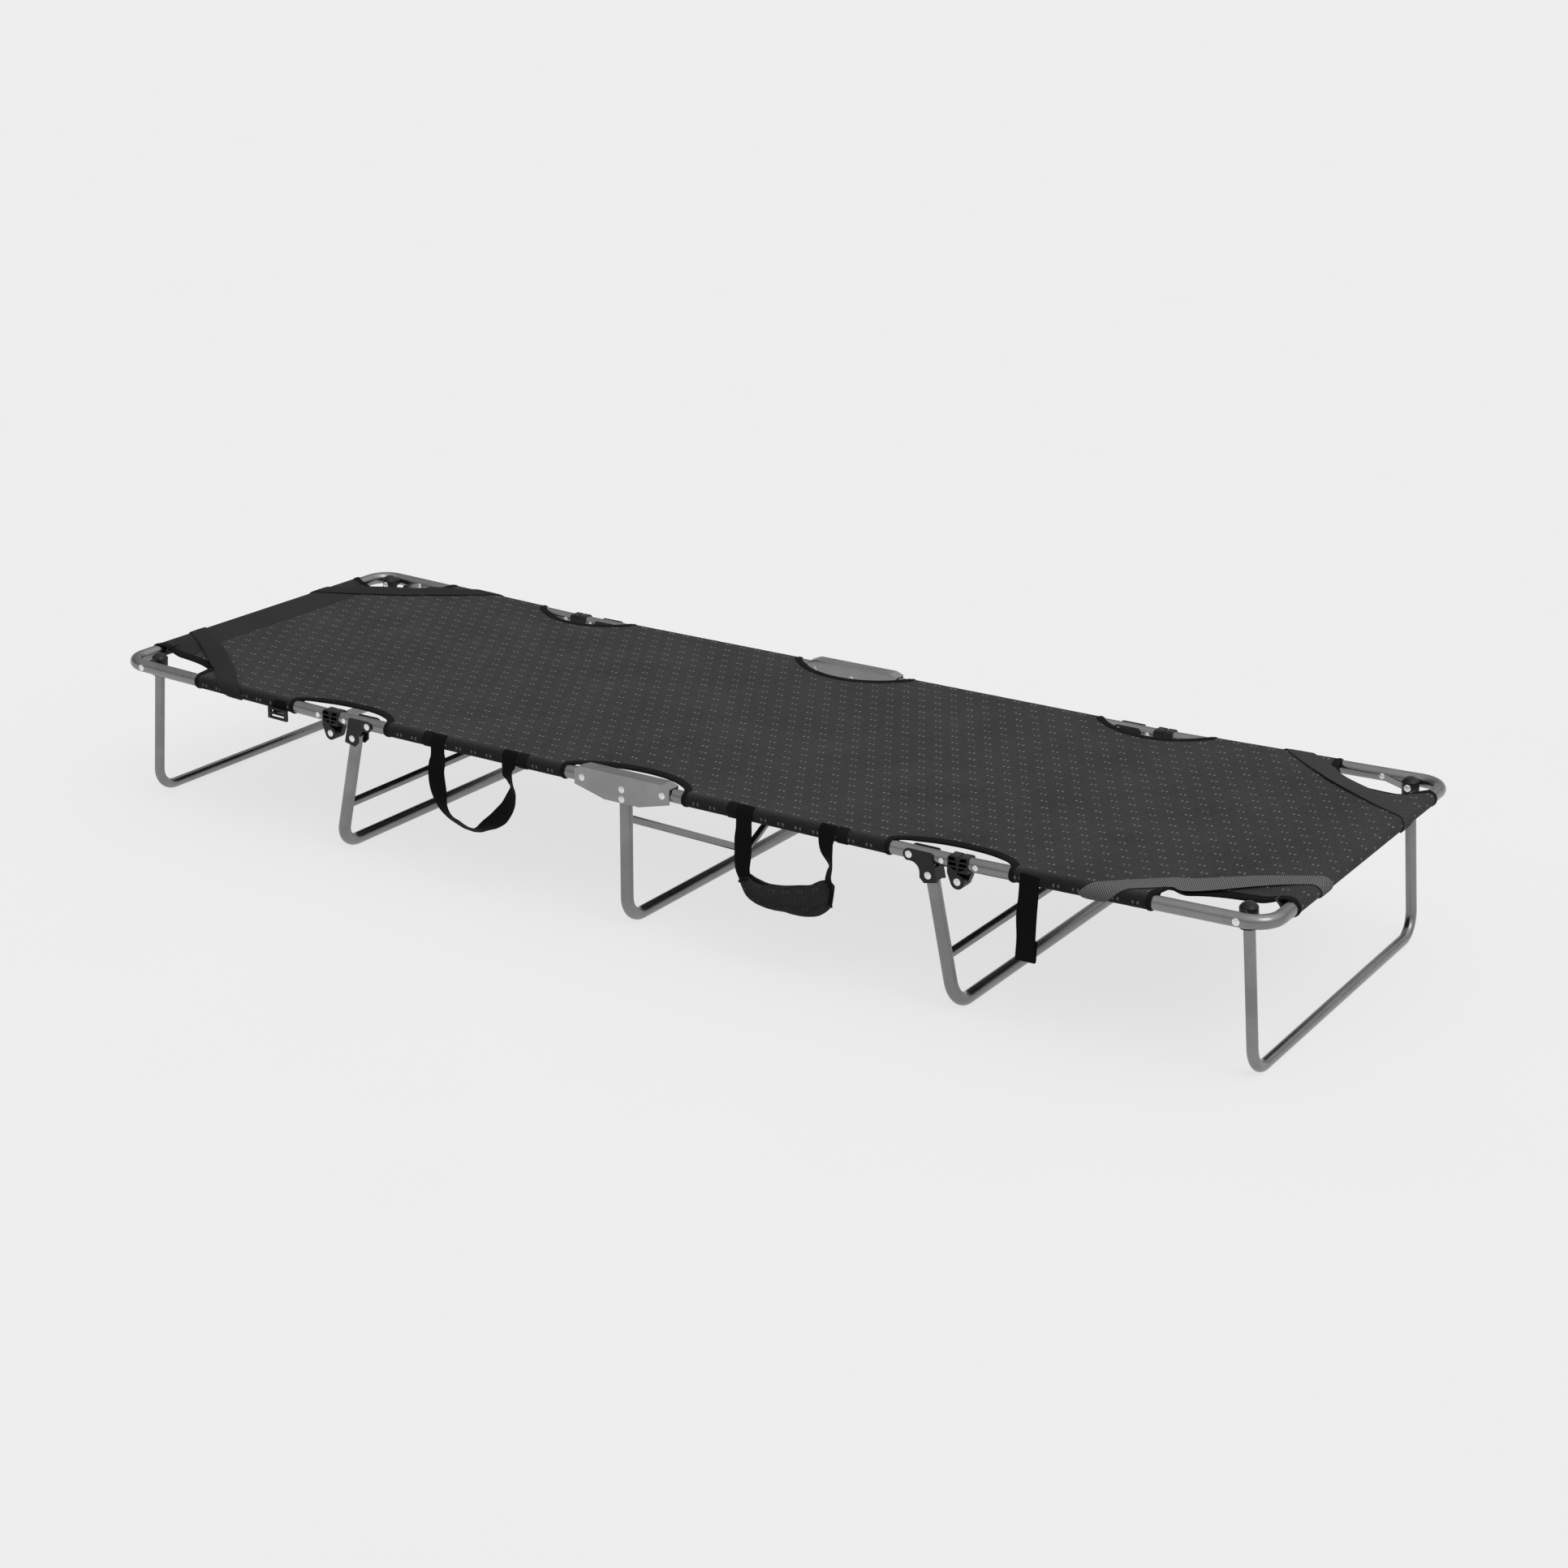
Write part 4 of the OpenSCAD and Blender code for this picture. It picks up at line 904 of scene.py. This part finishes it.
def make_grip():
    """The padded sleeve on the foot-side loop: a soft pouch, pulled up at its hemmed ends."""
    top_line = [(0.2085, -0.0815), (0.221, -0.085), (0.241, -0.0845), (0.262, -0.082),
                (0.285, -0.0765), (0.302, -0.0725), (0.322, -0.0655), (0.3345, -0.0645),
                (0.3420, -0.070)]
    low_line = [(0.1935, -0.0925), (0.203, -0.107), (0.2125, -0.1165), (0.234, -0.1225),
                (0.262, -0.1225), (0.292, -0.1215), (0.316, -0.117), (0.331, -0.108),
                (0.3405, -0.098)]
    edges = [curve_through([(x, HANG_Y - GRIP_OUT, RAIL_Z + z) for x, z in line], GRIP_ROWS)
             for line in (top_line, low_line)]
    (high, _), (deep, run) = edges
    top, low, uv = [], [], []
    for k in range(GRIP_ROWS):
        t = k / (GRIP_ROWS - 1)
        end = min(t, 1 - t) * run[-1]
        full = GRIP_FULL * min(1.0, 0.30 + 0.70 * (end / GRIP_END) ** 0.6)
        up, down, mark = [], [], []
        for a in [j / GRIP_COLS for j in range(GRIP_COLS + 1)]:
            here = Vector(deep[k]).lerp(Vector(high[k]), a)
            swell = full * math.sqrt(max(0.0, 1 - abs(2 * a - 1) ** 3))
            crease = noise.noise(Vector((t * 8, a * 4, 2.2))) * 0.0011
            crease += noise.noise(Vector((t * 22, a * 9, 7.7))) * 0.0004
            bowl = GRIP_LEAN * (2 * a - 1)
            up.append(here + Vector((0, -(swell + crease) + bowl - GRIP_SKIN, 0)))
            down.append(here + Vector((0, swell * 0.8 + bowl + GRIP_SKIN, 0)))
            mark.append((run[k], a * GRIP_DEEP))
        top.append(up)
        low.append(down)
        uv.append(mark)
    obj = two_sided("grip_pad", top, low, uv)
    inflate(obj, 4.0, 0.004)
    dress(obj, GRIP)
    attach(obj, "foot_mid")
    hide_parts("foot_handle_grip")

    hems = []
    for k in (1, GRIP_ROWS - 2):
        ring = [(Vector(high[k]).lerp(Vector(deep[k]), HEM_FROM + HEM_NEXT * j),
                 j / (HEM_POINTS - 1)) for j in range(HEM_POINTS)]
        line = [(p.x, p.y - HEM_OUT - HEM_BOW * math.sin(math.pi * a), p.z, HEM_W, 0, 0.001)
                for p, a in ring]
        hems.append(ribbon("hem", line, thick=0.0012, step=0.003))
    hem = joined("grip_hems", hems)
    dress(hem, TAPE)
    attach(hem, "foot_mid")


PUFF_FRAMES = 20


def inflate(obj, pressure, cap):
    """Puffs a closed soft piece out with a short cloth simulation; no point moves past cap."""
    scene = bpy.context.scene
    rest = [v.co.copy() for v in obj.data.vertices]
    cloth_mod = obj.modifiers.new("puff", "CLOTH")
    cloth_mod.settings.use_pressure = True
    cloth_mod.settings.uniform_pressure_force = pressure
    cloth_mod.settings.effector_weights.gravity = 0
    cloth_mod.settings.quality = 6
    cloth_mod.point_cache.frame_start = 1
    cloth_mod.point_cache.frame_end = PUFF_FRAMES
    for step in range(1, PUFF_FRAMES + 1):
        scene.frame_set(step)
    puffed = obj.evaluated_get(bpy.context.evaluated_depsgraph_get()).to_mesh()
    moved = [v.co.copy() for v in puffed.vertices]
    obj.evaluated_get(bpy.context.evaluated_depsgraph_get()).to_mesh_clear()
    obj.modifiers.remove(cloth_mod)
    scene.frame_set(1)
    for vertex, old, new in zip(obj.data.vertices, rest, moved):
        shift = new - old
        if shift.length > cap:
            shift *= cap / shift.length
        vertex.co = old + shift
    obj.data.update()


BAND_EDGE = 0.001  # a band thins over this much at each edge
BAND_LIFTS, BAND_EDGE_LIFT = (0.0012, 0.0001), 0.0003
BAND_ROUND = (0.0005, 0.62)  # metres past the rail's top, share of the wrap


def sleeve_band(name, x, width, body):
    """Short band of webbing round the near sleeve beside a handle's end."""
    xs = [x - width / 2, x - width / 2 + BAND_EDGE, x, x + width / 2 - BAND_EDGE, x + width / 2]
    us = spread(BAND_ROUND[0], WRAP * SLEEVE_R * BAND_ROUND[1], TAPE_STEP)
    faces = [[[on_bed(q, -(RAIL_Y + u), lift if 0 < k < 4 else BAND_EDGE_LIFT) for u in us]
              for k, q in enumerate(xs)] for lift in BAND_LIFTS]
    uv = [[(u, q - x) for u in us] for q in xs]
    band = two_sided(name, *faces, uv)
    dress(band, TAPE)
    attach(band, body)


def make_sleeve_bands():
    for name, x, width, body in (("band_head_left", -0.341, 0.016, "head_mid"),
                                 ("band_head_right", -0.171, 0.017, "head_mid"),
                                 ("band_foot_left", 0.179, 0.016, "foot_mid"),
                                 ("band_foot_right", 0.350, 0.017, "foot_mid")):
        sleeve_band(name, x, width, body)


CLOSING_W = 0.028  # width of the closing strap
CLOSING_TOP = 0.006  # drop below the rail's axis where it hangs free
TAIL_IN, TAIL_UP = 0.0030, 0.030  # its tail folds back in and runs up this far


def make_closing_strap():
    """The strap that hangs from the foot end's near rail, its end folded back and up."""
    low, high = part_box("closing_strap")
    x, width = (low.x + high.x) / 2, CLOSING_W
    tail_in = HANG_Y + TAIL_IN
    line = from_rail(x, width)
    for share, off, turn in ((0.15, 0.0, 0.0), (0.4, -0.001, 0.002), (0.7, -0.0005, -0.002),
                             (0.96, -0.001, 0.001)):
        z = RAIL_Z - CLOSING_TOP - share * (RAIL_Z - CLOSING_TOP - low.z)
        line.append((x + off, HANG_Y - 0.0015 * math.sin(math.pi * share), z, width, turn, 0))
    line.append((x - 0.001, (HANG_Y + tail_in) / 2, low.z + 0.001, width, 0, 0))
    line.append((x - 0.001, tail_in, low.z + 0.005, width, 0, 0))
    line.append((x - 0.0005, tail_in, low.z + TAIL_UP, width, 0, 0))
    obj = ribbon("closing_strap_web", line, step=0.0025)
    dress(obj, HANDLE_WEB)
    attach(obj, "foot_end")
    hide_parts("closing_strap")


def make_buckle_tab():
    """The short tab that carries the ladder buckle, tucked in at its lower end."""
    low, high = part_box("buckle_tab")
    x, width = (low.x + high.x) / 2, (high.x - low.x)
    line = from_rail(x, width)
    line.append((x, HANG_Y, low.z + 0.004, width, 0, 0))
    line.append((x, HANG_Y + 0.0012, low.z + 0.0008, width, 0, 0))
    obj = ribbon("buckle_tab_web", line, step=0.002)
    dress(obj, HANDLE_WEB)
    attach(obj, "head_end")
    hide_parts("buckle_tab")


# ---------------------------- CAD nodes' finishes
def finish_cad():
    """Gives each CAD node the material of what it is made of."""
    for name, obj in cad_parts.items():
        if "fabric" in name or "strap" in name or "handle" in name or name == "buckle_tab":
            material = BED if "fabric" in name else HANDLE_WEB
        elif "rivet" in name or "pins" in name:
            material = RIVET
        elif "hinge_" in name or "leg_bracket" in name or "caps" in name or "buckle" in name:
            material = PLASTIC
        elif "bracket" in name or "catch" in name:
            material = SHEET_STEEL
        else:
            material = TUBE
        if not obj.material_slots:
            obj.data.materials.append(material)
        for slot in obj.material_slots:
            slot.material = material


# ---------------------------- stage
def cove(flat, far, high, around=64, steps=12):
    """A round floor, flat out to one radius and curving up to a low wall at the far one."""
    rings = [(flat, 0.0)]
    for k in range(1, steps + 1):
        t = math.sin(math.pi / 2 * k / steps)
        rings.append((flat + (far - flat) * t, high * (1 - math.sqrt(1 - t * t))))
    points = [(r * math.cos(2 * math.pi * a / around), r * math.sin(2 * math.pi * a / around), z)
              for r, z in rings for a in range(around)]
    faces = [tuple(range(around))]
    for k in range(steps):
        for a in range(around):
            b = (a + 1) % around
            faces.append((k * around + a, (k + 1) * around + a,
                          (k + 1) * around + b, k * around + b))
    return points, [], faces


FLOOR_FLAT, FLOOR_FAR, FLOOR_HIGH = 30.0, 60.0, 8.0  # flat out to, wall at, wall's height
FLOOR_DROP = 0.0003  # below the feet, so that no face coincides
SIDE_LIGHT = (0.40, 1.60)  # the sky's strength from -X to +X
TOP_LIGHT = (0.14, 1.22)  # and from the horizon up


def make_floor():
    """The studio floor."""
    mesh = bpy.data.meshes.new("floor")
    mesh.from_pydata(*cove(FLOOR_FLAT, FLOOR_FAR, FLOOR_HIGH))
    floor = linked("floor", mesh)
    floor.data.materials.append(floor_finish("floor_matt"))
    floor.location.z = -FLOOR_DROP


def make_world():
    """A white sky that is brighter on one side and overhead."""
    world = bpy.data.worlds.new("studio")
    bpy.context.scene.world = world
    world.use_nodes = True
    tree = world.node_tree
    sky = tree.nodes["Background"]
    where = tree.nodes.new("ShaderNodeTexCoord").outputs["Generated"]
    parts = tree.nodes.new("ShaderNodeSeparateXYZ")
    tree.links.new(where, parts.inputs[0])
    glow, height = (tree.nodes.new("ShaderNodeMapRange") for _ in range(2))
    for node, axis, start, strength in ((glow, 0, -1, SIDE_LIGHT), (height, 2, 0, TOP_LIGHT)):
        tree.links.new(parts.outputs[axis], node.inputs["Value"])
        for key, value in zip(("From Min", "From Max", "To Min", "To Max"),
                              (start, 1, *strength)):
            node.inputs[key].default_value = value
    both = tree.nodes.new("ShaderNodeMath")
    both.operation = "MULTIPLY"
    tree.links.new(glow.outputs[0], both.inputs[0])
    tree.links.new(height.outputs[0], both.inputs[1])
    tree.links.new(both.outputs[0], sky.inputs["Strength"])
    sky.inputs["Color"].default_value = (1, 1, 1, 1)


def sun(name, energy, angle, aim):
    """A sun lamp of some angular size in degrees that shines along aim."""
    data = bpy.data.lights.new(name, "SUN")
    data.energy = energy
    data.angle = math.radians(angle)
    obj = bpy.data.objects.new(name, data)
    bpy.context.scene.collection.objects.link(obj)
    obj.rotation_euler = Vector(aim).to_track_quat("-Z", "Y").to_euler()


def make_lights():
    sun("key", 0.60, 30, (-0.70, 0.25, -1.0))
    sun("fill", 0.12, 60, (0.4, 0.8, -0.6))


CAMERA_PLACE = (2.0736, -3.1571, 1.4748)
CAMERA_TURN = (-0.5669, 0.3444, 0.0099)  # heading, pitch down and roll, in radians
CAMERA_LENS = 63.21  # in mm, on a sensor 36 mm wide


def make_camera():
    """The photograph's view, fitted to points of the frame that show in the photograph."""
    yaw, pitch, roll = CAMERA_TURN
    ahead = Vector((math.sin(yaw) * math.cos(pitch), math.cos(yaw) * math.cos(pitch),
                    -math.sin(pitch)))
    right = Vector((math.cos(yaw), -math.sin(yaw), 0))
    up = right.cross(ahead)
    right, up = (right * math.cos(roll) + up * math.sin(roll),
                 up * math.cos(roll) - right * math.sin(roll))
    data = bpy.data.cameras.new("camera")
    data.sensor_width = 36
    data.lens = CAMERA_LENS
    data.clip_end = 200
    camera = bpy.data.objects.new("camera", data)
    bpy.context.scene.collection.objects.link(camera)
    turn = Matrix((right, up, -ahead)).transposed().to_4x4()
    camera.matrix_world = Matrix.Translation(CAMERA_PLACE) @ turn
    bpy.context.scene.camera = camera


make_camera()
finish_cad()
make_bed()
make_tapes()
make_corner_straps()
make_handles()
make_grip()
make_sleeve_bands()
make_closing_strap()
make_buckle_tab()
make_floor()
make_world()
make_lights()
bpy.context.scene.view_settings.view_transform = "Standard"
